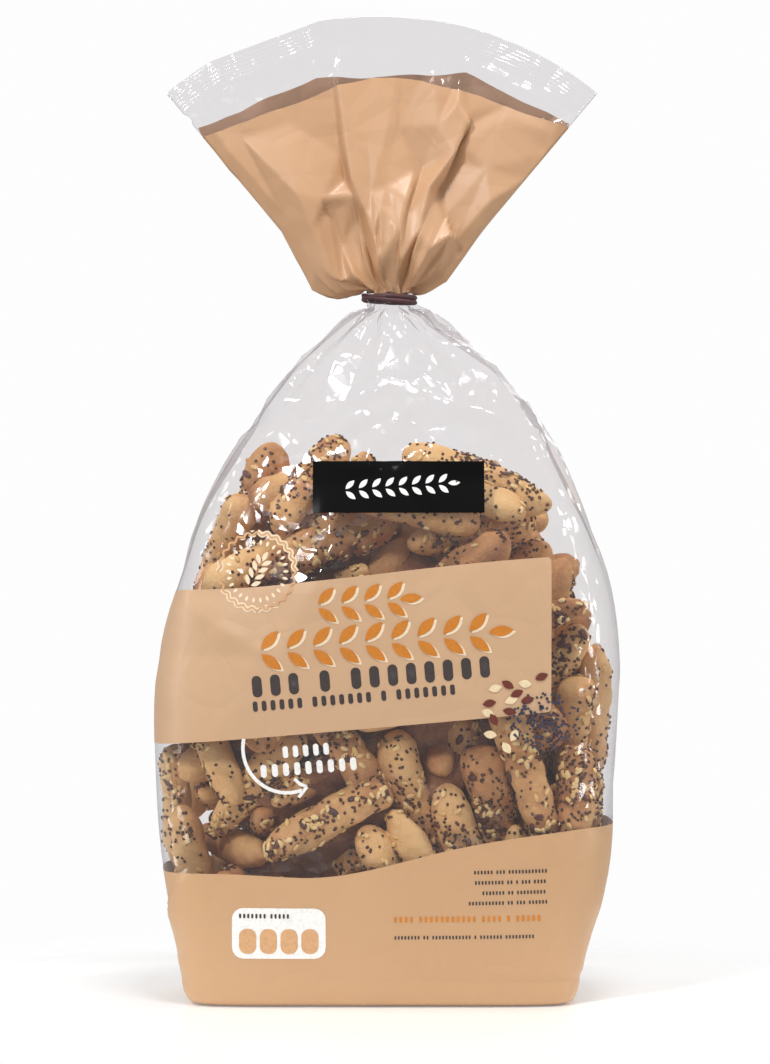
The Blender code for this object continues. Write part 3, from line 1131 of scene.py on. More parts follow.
@dataclass
class Heap:
    """The breadsticks in the bag: those at the front placed one by one, the rest pushed clear of them."""

    film: FilmSheet
    total: int = 150
    margin: float = 0.0023
    top: float = 0.186
    slump: float = 0.22
    crest: float = 0.012
    rounds: int = 240
    seed: int = 21
    deepest: float = 0.018
    seed_room: float = 0.0016
    tuck_rounds: int = 4
    tuck_shares: tuple[float, ...] = (0.10, 0.30, 0.50, 0.70, 0.90)
    forms: list[StickForm] = field(init=False)
    shown: list[bool] = field(default_factory=list)

    def __post_init__(self) -> None:
        """Fills the bag and shapes each stick, finer where it can be seen."""
        rng = np.random.default_rng(self.seed)
        starts, ends, radii, held = self._placed(rng)
        starts, ends = self._relaxed(starts, ends, radii, held)
        starts, ends = self._tucked(starts, ends, radii)
        self.forms = []
        for k, (a, b, r) in enumerate(zip(starts, ends, radii)):
            _, normal, _, distance = self.film.solid.find_nearest(Vector((a + b) / 2))
            self.shown.append(k < len(FRONT_STICKS) or distance < self.deepest)
            rings, sides = (43, 24) if self.shown[-1] else (15, 10)
            rng = np.random.default_rng(1000 + k)
            self.forms.append(StickForm(a, b, float(r), np.array(normal), rng, rings, sides))

    def _depth(self, x: float, z: float) -> float:
        """Where the solid's front lies at a point across and up."""
        hit = self.film.solid.ray_cast(Vector((x, -0.2, z)), Vector((0.0, 1.0, 0.0)))[0]
        return hit.y if hit is not None else -0.010

    def _placed(self, rng: np.random.Generator) -> tuple[Array, Array, Array, Array]:
        """The front sticks where they lie, and the others scattered through the bag.

        Args:
            rng: the heap's random numbers.

        Returns:
            Start points, end points, radii and how freely each may move.
        """
        starts, ends, radii, free = [], [], [], []
        for stick in FRONT_STICKS:
            radius = stick.thickness / 2
            sink = radius + self.margin + 0.0125 * stick.layer
            (ax, az), (bx, bz) = stick.start, stick.end
            start = np.array([ax, self._depth(ax, az) + sink, az])
            end = np.array([bx, self._depth(bx, bz) + sink + 0.030 * stick.turn, bz])
            way = end - start
            reach = float(np.linalg.norm(way))
            wanted = rng.uniform(0.047, 0.055)
            if reach < wanted:
                way = way / reach
                grown = way + np.array([0.0, 0.35 + stick.turn, 0.0])
                end = start + unit(grown) * wanted
            starts.append(start)
            ends.append(end)
            radii.append(radius)
            free.append(0.06)
        while len(starts) < self.total:
            centre = rng.uniform((-0.07, -0.03, 0.008), (0.07, 0.036, self.top - 0.006))
            if not self._inside(centre, 0.010):
                continue
            way = unit(rng.normal(size=3) * (1.0, 0.6, 0.8))
            radius = rng.uniform(0.0056, 0.0070)
            half = rng.uniform(0.024, 0.030)
            starts.append(centre - way * half)
            ends.append(centre + way * half)
            radii.append(radius)
            free.append(1.0)
        return np.array(starts), np.array(ends), np.array(radii), np.array(free)

    def _inside(self, point: Array, clear: float) -> bool:
        """Whether a point lies inside the solid, at least so far from its skin."""
        near, normal, _, distance = self.film.solid.find_nearest(Vector(point))
        return distance > clear and (Vector(point) - near).dot(normal) < 0

    def _relaxed(self, starts: Array, ends: Array, radii: Array, free: Array) -> tuple[Array, Array]:
        """Pushes the sticks apart and back into the bag until they only touch.

        Args:
            starts: start points of the sticks.
            ends: end points of the sticks.
            radii: the sticks' radii.
            free: how freely each stick moves, 1 for quite free.

        Returns:
            The new start and end points.
        """
        first, second = np.triu_indices(len(radii), 1)
        inset = radii * 0.8
        lengths = np.linalg.norm(ends - starts, axis=1)
        share_one = free[first] / (free[first] + free[second])
        for _ in range(self.rounds):
            way = unit(ends - starts)
            a, b = starts + way * inset[:, None], ends - way * inset[:, None]
            along, other, gap, between = closest(a[first], b[first], a[second], b[second])
            overlap = (radii[first] + radii[second]) * 0.97 - gap
            near = overlap > 0
            push = between * (overlap * near * 0.42)[:, None]
            move_a, move_b = np.zeros_like(starts), np.zeros_like(ends)
            one, two = push * share_one[:, None], push * (1 - share_one)[:, None]
            np.add.at(move_a, first, -one * (1 - along)[:, None])
            np.add.at(move_b, first, -one * along[:, None])
            np.add.at(move_a, second, two * (1 - other)[:, None])
            np.add.at(move_b, second, two * other[:, None])
            starts, ends = starts + move_a, ends + move_b
            for points in (starts, ends):
                self._hold_in(points, radii)
            middle = (starts + ends) / 2
            moved = middle.copy()
            self._hold_in(moved, radii)
            starts, ends = starts + (moved - middle), ends + (moved - middle)
            middle, way = (starts + ends) / 2, unit(ends - starts)
            starts, ends = middle - way * (lengths / 2)[:, None], middle + way * (lengths / 2)[:, None]
        return starts, ends

    def _tucked(self, starts: Array, ends: Array, radii: Array) -> tuple[Array, Array]:
        """Moves whole sticks until no part of them stands too near the film.

        Args:
            starts: start points of the sticks.
            ends: end points of the sticks.
            radii: the sticks' radii.

        Returns:
            The new start and end points.
        """
        skin, outward = self.film.skin_tree()
        for _ in range(self.tuck_rounds):
            for k, radius in enumerate(radii):
                for share in self.tuck_shares:
                    point = Vector(starts[k] * (1 - share) + ends[k] * share)
                    near, _, face, _ = skin.find_nearest(point)
                    short = radius + self.seed_room - (near - point).dot(Vector(outward[face]))
                    if short > 0:
                        starts[k] -= outward[face] * short
                        ends[k] -= outward[face] * short
        return starts, ends

    def _hold_in(self, points: Array, radii: Array) -> None:
        """Moves points that stand out of the bag back in, each by its stick's radius.

        Args:
            points: one point of each stick, changed in place.
            radii: the sticks' radii.
        """
        for k, point in enumerate(points):
            clear = radii[k] + self.margin
            near, normal, _, distance = self.film.solid.find_nearest(Vector(point))
            inside = (Vector(point) - near).dot(normal) < 0
            depth = distance if inside else -distance
            if depth < clear:
                points[k] -= np.array(normal) * (clear - depth) * 0.9
            top = self.top - self.slump * abs(points[k][0] + self.crest) - radii[k]
            if k >= len(FRONT_STICKS) and points[k][2] > top:
                points[k][2] -= (points[k][2] - top) * 0.5

    def sticks_piece(self) -> bpy.types.Object:
        """All the breadsticks as one joined mesh.

        Returns:
            The breadsticks.
        """
        points, faces, bakes, first = [], [], [], 0
        for form in self.forms:
            own, quads, bake = form.mesh()
            points.append(own)
            faces.extend((quads + first).tolist())
            bakes.append(bake)
            first += len(own)
            tops = (first - len(own), first - form.sides)
            faces.append([tops[0] + k for k in range(form.sides)])
            faces.append([tops[1] + k for k in reversed(range(form.sides))])
        piece = mesh_piece("breadsticks", np.concatenate(points), faces)
        store(piece, "bake", np.concatenate(bakes))
        return piece


@dataclass
class ShadeCore:
    """A smaller lumpy core in the middle of the heap, so that no light comes through it; its darkest crust
    brown is painted shade in the gaps between the sticks.
    """

    film: FilmSheet
    inset: float = 0.60
    low: float = 0.012
    high: float = 0.158
    rings: int = 34
    sides: int = 48

    def piece(self) -> bpy.types.Object:
        """The core as one closed mesh.

        Returns:
            The core.
        """
        rng = np.random.default_rng(4)
        lumps = [(rng.integers(2, 8), rng.integers(2, 7), rng.uniform(0, 2 * math.pi)) for _ in range(7)]
        around = 2 * math.pi * np.arange(self.sides) / self.sides
        points = []
        for step in range(self.rings):
            share = step / (self.rings - 1)
            height = self.low + (self.high - self.low) * share
            row = int(np.argmin(np.abs(self.film.rest[: self.film.body_rows, 0, 2] - height)))
            outline = self.film.rest[row][(np.arange(self.sides) * self.film.columns) // self.sides]
            dome = (1 - abs(2 * share - 1) ** 5) ** 0.5 + 0.02
            lump = 1 + 0.05 * sum(np.sin(k * math.pi * share * 2 + m * around + p) for k, m, p in lumps)
            ring = outline * (self.inset * dome * lump)[:, None]
            ring[:, 2] = height
            points.append(ring)
        faces = ring_faces(self.rings, self.sides).tolist()
        last = (self.rings - 1) * self.sides
        faces.append(list(range(self.sides)))
        faces.append([last + k for k in reversed(range(self.sides))])
        piece = mesh_piece("heap_shade_core", np.concatenate(points), faces)
        # Every point takes the darkest bake: painted shade for the gaps between the sticks.
        store(piece, "bake", np.full(len(piece.data.vertices), 0.95))
        return piece


def closest(a: Array, b: Array, c: Array, d: Array) -> tuple[Array, Array, Array, Array]:
    """The closest points of pairs of line pieces a-b and c-d.

    Args:
        a: starts of the first pieces.
        b: ends of the first pieces.
        c: starts of the second pieces.
        d: ends of the second pieces.

    Returns:
        The shares along each piece, the distances, and unit vectors from the first to the second.
    """
    one, two, gap = b - a, d - c, a - c
    aa, ee = (one * one).sum(1), (two * two).sum(1)
    ab, ac, ec = (one * two).sum(1), (one * gap).sum(1), (two * gap).sum(1)
    spread = np.maximum(aa * ee - ab * ab, 1e-14)
    along = np.clip((ab * ec - ac * ee) / spread, 0, 1)
    other = np.clip((ab * along + ec) / ee, 0, 1)
    along = np.clip((ab * other - ac) / aa, 0, 1)
    between = (c + two * other[:, None]) - (a + one * along[:, None])
    size = np.linalg.norm(between, axis=1)
    return along, other, size, between / np.maximum(size, 1e-9)[:, None]


# --------------------------------------------------------------------------------------------------
# Seeds
# --------------------------------------------------------------------------------------------------


class SeedKind(Enum):
    """The three kinds of seed on the crust."""

    SESAME = "sesame"
    FLAX = "flax"
    POPPY = "poppy"


@dataclass(frozen=True)
class SeedForm:
    """Size, shape and number of one kind of seed."""

    length: float
    width: float
    thickness: float
    per_stick: int
    spread: float
    sides: int
    bands: int
    point: float

    def template(self) -> tuple[Array, list[list[int]]]:
        """One seed round the origin, lying along X with its flat side on Z.

        Returns:
            Its points and faces.
        """
        points = [(-self.length / 2, 0.0, 0.0)]
        for k in range(1, self.bands):
            share = k / self.bands
            size = math.sin(math.pi * share) ** 0.75 * (1 - self.point * (share - 0.35))
            x = -self.length / 2 * math.cos(math.pi * share)
            for side in range(self.sides):
                angle = 2 * math.pi * side / self.sides
                points.append(
                    (x, self.width / 2 * size * math.cos(angle), self.thickness / 2 * size * math.sin(angle))
                )
        points.append((self.length / 2, 0.0, 0.0))
        last = len(points) - 1
        faces = [[0, 1 + (k + 1) % self.sides, 1 + k] for k in range(self.sides)]
        for band in range(self.bands - 2):
            low = 1 + band * self.sides
            for k in range(self.sides):
                after = (k + 1) % self.sides
                faces.append([low + k, low + after, low + after + self.sides, low + k + self.sides])
        top = last - self.sides
        faces += [[last, top + k, top + (k + 1) % self.sides] for k in range(self.sides)]
        return np.array(points), faces


SEED_FORMS = {
    SeedKind.SESAME: SeedForm(0.0031, 0.0019, 0.0010, 30, 0.9, 6, 4, 0.55),
    SeedKind.FLAX: SeedForm(0.0042, 0.0023, 0.0011, 5, 1.1, 6, 4, 0.35),
    SeedKind.POPPY: SeedForm(0.00135, 0.0011, 0.0009, 150, 1.4, 4, 3, 0.0),
}


@dataclass
class SeedScatter:
    """Seeds pressed into the crust in patches, on the sides of the sticks that can be seen."""

    heap: Heap
    seed: int = 5

    def piece(self, kind: SeedKind) -> bpy.types.Object:
        """All the seeds of one kind as one joined mesh.

        Args:
            kind: which seed.

        Returns:
            The seeds.
        """
        form = SEED_FORMS[kind]
        order = list(SeedKind).index(kind)
        places, turns = [], []
        for k, stick in enumerate(self.heap.forms):
            rng = np.random.default_rng([self.seed, order, k])
            if self.heap.shown[k]:
                place, turn = self._on_stick(stick, form, rng)
                places.append(place)
                turns.append(turn)
        place, turn = np.concatenate(places), np.concatenate(turns)
        points, faces = form.template()
        rng = np.random.default_rng([self.seed, order])
        size = rng.uniform(0.82, 1.15, (len(place), 1, 1))
        spread = np.einsum("nij,vj->nvi", turn, points) * size + place[:, None, :]
        numbered = [[v + k * len(points) for v in face] for k in range(len(place)) for face in faces]
        piece = mesh_piece(f"{kind.value}_seeds", spread.reshape(-1, 3), numbered)
        store(piece, "shade", np.repeat(rng.uniform(0, 1, len(place)), len(points)))
        return piece

    def _on_stick(self, stick: StickForm, form: SeedForm, rng: np.random.Generator) -> tuple[Array, Array]:
        """Places and turns of one stick's seeds.

        Args:
            stick: the stick.
            form: the kind of seed.
            rng: random numbers for this stick and kind.

        Returns:
            The places and 3x3 turns.
        """
        count = int(form.per_stick * stick.length / 0.05 * rng.uniform(0.5, 1.7))
        clumped = stick.clumps[rng.integers(0, 3, count)] + rng.normal(0, 0.10, count)
        share = np.clip(np.where(rng.random(count) < 0.62, clumped, rng.random(count)), 0.03, 0.97)
        gathered = stick.seeded + rng.normal(0, form.spread * 0.62, count)
        around = np.where(rng.random(count) < 0.72, gathered, stick.facing + rng.uniform(-1.7, 1.7, count))
        step = 1e-3
        place = stick.surface(share, around)
        along = unit(stick.surface(np.clip(share + step, 0, 1), around) - stick.surface(share - step, around))
        across = unit(stick.surface(share, around + step) - stick.surface(share, around - step))
        up = unit(np.cross(along, across))
        spoke = stick.first * np.cos(around)[:, None] + stick.second * np.sin(around)[:, None]
        up = up * np.sign((up * spoke).sum(1))[:, None]
        seen = (up @ stick.outward) > -0.35
        place, along, up = place[seen], along[seen], up[seen]
        swing = rng.uniform(0, 2 * math.pi, len(place))[:, None]
        level = unit(along - up * (along * up).sum(1)[:, None])
        side_way = np.cross(up, level)
        lie = level * np.cos(swing) + side_way * np.sin(swing)
        tip = rng.normal(0, 0.16, len(place))[:, None]
        lie = unit(lie + up * tip)
        up = unit(up - lie * (up * lie).sum(1)[:, None])
        turn = np.stack([lie, np.cross(up, lie), up], axis=2)
        return place + up * form.thickness * 0.22, turn


# --------------------------------------------------------------------------------------------------
# The band
# --------------------------------------------------------------------------------------------------


@dataclass
class NeckBand:
    """The covered elastic, wound twice round the neck with its two strands crossing once."""

    radius: float = 0.00082
    pitch: float = 0.00155
    steps: int = 220
    sides: int = 10

    def piece(self) -> bpy.types.Object:
        """Both strands as one closed tube of two turns.

        Returns:
            The band.
        """
        low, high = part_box("band")
        centre = (np.array(low) + np.array(high)) / 2
        half_x, half_y = (high.x - low.x) / 2 - self.radius, (high.y - low.y) / 2 - self.radius
        turn = 4 * math.pi * np.arange(self.steps) / self.steps
        climb = 0.5 * self.pitch * np.clip(2.4 * np.cos(turn / 2 + 0.35), -1, 1)
        over = 0.00045 * np.exp(-((np.mod(turn - 2.4, 4 * math.pi) - math.pi) ** 2) / 0.08)
        tilt = math.tan(math.radians(3))
        route = np.stack(
            [
                centre[0] + (half_x + over) * np.cos(turn),
                centre[1] - (half_y + over) * np.sin(turn),
                centre[2] + climb - tilt * half_x * np.cos(turn),
            ],
            axis=1,
        )
        way = unit(np.roll(route, -1, axis=0) - np.roll(route, 1, axis=0))
        out = unit(route - centre - np.outer((route - centre)[:, 2], (0, 0, 1)))
        up = np.cross(way, out)
        angle = 2 * math.pi * np.arange(self.sides) / self.sides
        twist = np.arange(self.steps)[:, None] * 0.55
        yarn = self.radius * (1 + 0.07 * np.cos(3 * angle[None, :] - twist))
        points = route[:, None, :] + out[:, None, :] * (yarn * np.cos(angle))[..., None]
        points = points + up[:, None, :] * (yarn * np.sin(angle))[..., None]
        faces = []
        for step in range(self.steps):
            after = (step + 1) % self.steps
            for side in range(self.sides):
                beside = (side + 1) % self.sides
                faces.append(
                    [
                        step * self.sides + side,
                        step * self.sides + beside,
                        after * self.sides + beside,
                        after * self.sides + side,
                    ]
                )
        return mesh_piece("neck_band", points.reshape(-1, 3), faces)


# --------------------------------------------------------------------------------------------------
# Print
# --------------------------------------------------------------------------------------------------


# The top edges of the fan's print, across and up, in millimetres.
FAN_PRINT_FRONT = (
    (-75, 293), (-61.6, 298.2), (-23.8, 312), (-16.4, 315.2), (-4.7, 318.4), (12.4, 317.4), (33.6, 312),
    (64.5, 300.3), (75, 296),
)
FAN_PRINT_BACK = ((-75, 296), (-68, 299.3), (-23.8, 318.4), (28.3, 320.5), (65.5, 301.4), (75, 296))


@dataclass
class TanFields:
    """The three tan fields: the base, the slanting label band and the fan."""

    label_right: float = 0.0557
    label_top: float = 0.1465
    label_bottom: float = 0.0950
    label_slant: float = 0.088
    right_lean: float = 0.0035
    lean_height: float = 0.150
    back_end: float = 0.020
    fan_bottom: float = 0.2432

    def base(self, x: Array, y: Array, z: Array) -> Array:
        """Positive below the base's wavy top edge."""
        wave = 0.0445 + 0.0160 * eased((x + 0.030) / 0.100) + 0.0006 * np.sin(x / 0.012)
        return wave - z

    def label(self, x: Array, y: Array, z: Array) -> Array:
        """Positive inside the slanting band, from its right edge round the left side to the back."""
        run = np.where(y < 0, x, -0.160 - x)
        top = self.label_top + self.label_slant * run + 0.0007 * np.sin(run / 0.022)
        bottom = self.label_bottom + self.label_slant * run
        front_right = self.label_right - x - self.right_lean * (self.lean_height - z)
        right = np.where(y < 0, front_right, self.back_end - x)
        return np.minimum(np.minimum(top - z, z - bottom), right)

    def fan(self) -> Field:
        """The fan's print, lower on the front layer than on the back.

        Returns:
            A field that is positive on the print.
        """

        def inside(x: Array, y: Array, z: Array) -> Array:
            """Positive between the neck and the header's clear strip."""
            front = np.interp(x, *np.array(FAN_PRINT_FRONT).T * 0.001)
            back = np.interp(x, *np.array(FAN_PRINT_BACK).T * 0.001)
            edge = np.where(y > 0.00005, back, front) + 0.0003 * np.sin(x / 0.004)
            ragged = 0.0005 * np.sin(x / 0.0011)
            return np.minimum(edge - z, z - self.fan_bottom - ragged)

        return inside


@dataclass
class FrontPrint:
    """Small print shapes laid on the front film: outlines across and up, in metres."""

    film: FilmSheet

    def __post_init__(self) -> None:
        """Reads the film's front."""
        self.tree = self.film.front_tree()

    def lay(
        self, name: str, outlines: Sequence[Sequence[tuple[float, float]]], proud: float
    ) -> bpy.types.Object:
        """Lays filled outlines on the film.

        Args:
            name: the piece's name.
            outlines: closed outlines.
            proud: how far off the film they lie.

        Returns:
            The piece.
        """
        sheet = bmesh.new()
        for outline in outlines:
            self._fill(sheet, outline)
        for vert in sheet.verts:
            place, normal, _, _ = self.tree.ray_cast(Vector((vert.co.x, -0.2, vert.co.z)), Vector((0, 1, 0)))
            if place is not None:
                vert.co = place + normal * proud
        mesh = bpy.data.meshes.new(name)
        sheet.to_mesh(mesh)
        sheet.free()
        mesh.polygons.foreach_set("use_smooth", [True] * len(mesh.polygons))
        made = bpy.data.objects.new(name, mesh)
        bpy.context.scene.collection.objects.link(made)
        return made

    @staticmethod
    def _fill(sheet: bmesh.types.BMesh, outline: Sequence[tuple[float, float]], cell: float = 0.002) -> None:
        """Fills an outline with faces no wider than a cell, facing forward.

        Args:
            sheet: the mesh to add them to.
            outline: the outline, across and up.
            cell: the widest a face may be.
        """
        flat = [Vector((x, 0.0, z)) for x, z in outline]
        part = bmesh.new()
        verts = [part.verts.new(v) for v in flat]
        for triangle in geometry.tessellate_polygon([flat]):
            corners = [verts[k] for k in triangle]
            a, b, c = (v.co for v in corners)
            if (b - a).cross(c - a).y > 0:
                corners.reverse()
            if (b - a).cross(c - a).length > 1e-14:
                part.faces.new(corners)
        xs, zs = [v.x for v in flat], [v.z for v in flat]
        for axis, low, high in ((0, min(xs), max(xs)), (2, min(zs), max(zs))):
            cuts = int((high - low) / cell)
            for k in range(1, cuts + 1):
                place, way = Vector((0, 0, 0)), Vector((0, 0, 0))
                place[axis], way[axis] = low + (high - low) * k / (cuts + 1), 1.0
                bmesh.ops.bisect_plane(
                    part, geom=part.verts[:] + part.edges[:] + part.faces[:], plane_co=place, plane_no=way
                )
        mesh = bpy.data.meshes.new("part")
        part.to_mesh(mesh)
        part.free()
        sheet.from_mesh(mesh)
        bpy.data.meshes.remove(mesh)


def turned(x: float, z: float, px: float, pz: float, turn: float) -> tuple[float, float]:
    """A point px across and pz up from a middle at x and z, turned about it."""
    return x + px * math.cos(turn) - pz * math.sin(turn), z + px * math.sin(turn) + pz * math.cos(turn)


def bar(x: float, z: float, width: float, height: float, angle: float = 0.0, corner: float = 0.5) -> list:
    """A bar with rounded ends or corners.

    Args:
        x: middle across.
        z: middle up.
        width: length of the bar.
        height: thickness of the bar.
        angle: turn, in degrees, rising to the right.
        corner: corner radius as a share of the height.

    Returns:
        Its outline.
    """
    radius = height * corner
    turn = math.radians(angle)
    outline = []
    for k, (sx, sz) in enumerate(((1, 1), (-1, 1), (-1, -1), (1, -1))):
        for step in range(5):
            way = math.pi / 2 * (k + step / 4)
            px = sx * (width / 2 - radius) + radius * math.cos(way)
            pz = sz * (height / 2 - radius) + radius * math.sin(way)
            outline.append(turned(x, z, px, pz, turn))
    return outline


def grain(x: float, z: float, length: float, width: float, angle: float, steps: int = 9) -> list:
    """A pointed grain.

    Args:
        x: middle across.
        z: middle up.
        length: from tip to tip.
        width: at the middle.
        angle: turn, in degrees.
        steps: points along a side.

    Returns:
        Its outline.
    """
    turn = math.radians(angle)
    outline = []
    for side in (1, -1):
        for step in range(steps):
            share = step / steps
            px = side * length * (0.5 - share)
            pz = side * width / 2 * math.sin(math.pi * share) ** 0.85
            outline.append(turned(x, z, px, pz, turn))
    return outline


def stroke(route: Sequence[tuple[float, float]], width: float) -> list:
    """A line of one width along a route, as an outline."""
    points = np.array(route)
    way = unit(np.gradient(points, axis=0))
    side = np.stack([-way[:, 1], way[:, 0]], axis=1) * width / 2
    return [tuple(p) for p in points + side] + [tuple(p) for p in (points - side)[::-1]]


def ear(x: float, z: float, length: float, height: float, angle: float, pairs: int) -> list[list]:
    """An ear of wheat: pairs of grains along a stem.

    Args:
        x: middle across.
        z: middle up.
        length: from stem to tip.
        height: over both rows of grains.
        angle: turn, in degrees, rising to the right.
        pairs: how many pairs of grains.

    Returns:
        The outlines of its grains.
    """
    turn = math.radians(angle)
    outlines = []
    size = height * 0.60
    for k in range(pairs):
        run = length * ((k + 0.5) / pairs - 0.5)
        for side in (1, -1):
            middle = turned(x, z, run, side * height * 0.26, turn)
            outlines.append(grain(*middle, size, size * 0.42, angle + side * 42))
    outlines.append(grain(*turned(x, z, length * 0.54, 0.0, turn), size, size * 0.42, angle))
    return outlines


@dataclass
class Artwork:
    """The generic decoration on the front: where each motif lies and how large it is, in metres."""

    slant: float = 5.0
    seed: int = 3

    def words(self, left: float, z: float, lengths: Sequence[int], size: float, angle: float) -> list[list]:
        """A row of small dashes in groups, as plain decoration.

        Args:
            left: where the row starts, across.
            z: its height at the start.
            lengths: how many dashes each group has.
            size: a dash's height.
            angle: the row's rise, in degrees.

        Returns:
            The outlines.
        """
        outlines, run = [], 0.0
        for count in lengths:
            for _ in range(count):
                x = left + run * math.cos(math.radians(angle))
                up = z + run * math.sin(math.radians(angle))
                outlines.append(bar(x, up, size * 0.46, size, angle, 0.22))
                run += size * 0.86
            run += size * 0.6
        return outlines

    def scallops(
        self, x: float, z: float, radius: float, width: float, count: int, depth: float
    ) -> list[list]:
        """A scalloped ring, as four joined strips.

        Args:
            x: middle across.
            z: middle up.
            radius: of the ring's middle line.
            width: of the line.
            count: how many scallops.
            depth: how deep they are.

        Returns:
            The outlines.
        """
        outlines = []
        for part in range(4):
            route = []
            for step in range(49):
                angle = 2 * math.pi * (part + step / 48) / 4
                reach = radius + depth * math.cos(count * angle)
                route.append((x + reach * math.cos(angle), z + reach * math.sin(angle)))
            outlines.append(stroke(route, width))
        return outlines

    def arrow(self) -> list[list]:
        """The white arrow that curls down and to the right."""
        turn = np.linspace(math.radians(168), math.radians(290), 22)
        route = [(-0.0330 + 0.0148 * math.cos(a), 0.0878 + 0.0150 * math.sin(a)) for a in turn]
        tip = (-0.0262, 0.0749)
        upper = stroke([(-0.0305, 0.0775), (-0.0285, 0.0757), tip], 0.0011)
        lower = stroke([tip, (-0.0290, 0.0713)], 0.0011)
        return [stroke(route, 0.0012), upper, lower]


@dataclass(frozen=True)
class Motif:
    """One piece of the print: its name, ink, outlines and how far off the film it lies."""

    name: str
    ink: PrintInk
    outlines: Sequence
    proud: float


INK_BLACK = PrintInk("ink_black", (9, 9, 10), 0.6, 0.06)
INK_WHITE = PrintInk("ink_white", (246, 244, 240))
INK_CREAM = PrintInk("ink_cream", (245, 222, 190))
INK_ORANGE = PrintInk("ink_orange", (207, 128, 44))
INK_GREY = PrintInk("ink_dark_grey", (70, 62, 60))
INK_TAN = PrintInk("ink_badge_tan", (214, 166, 120))
INK_FLAX = PrintInk("ink_flax", (112, 56, 46))
INK_SHELL = PrintInk("ink_sesame", (240, 218, 178))
INK_POPPY = PrintInk("ink_poppy", (66, 66, 82))


# How far each layer of the small print lies off the film.
UNDERPRINT = 0.00022
OVERPRINT = 0.00034
TOPPRINT = 0.00040


def _dots(x: float, z: float, radius: float, count: int) -> list[list]:
    """Small grains round a circle.

    Args:
        x: middle across.
        z: middle up.
        radius: the circle's radius.
        count: how many.

    Returns:
        Their outlines.
    """
    angles = [2 * math.pi * k / count for k in range(count)]
    return [
        grain(x + radius * math.cos(a), z + radius * math.sin(a), 0.0020, 0.0010, math.degrees(a), 5)
        for a in angles
    ]


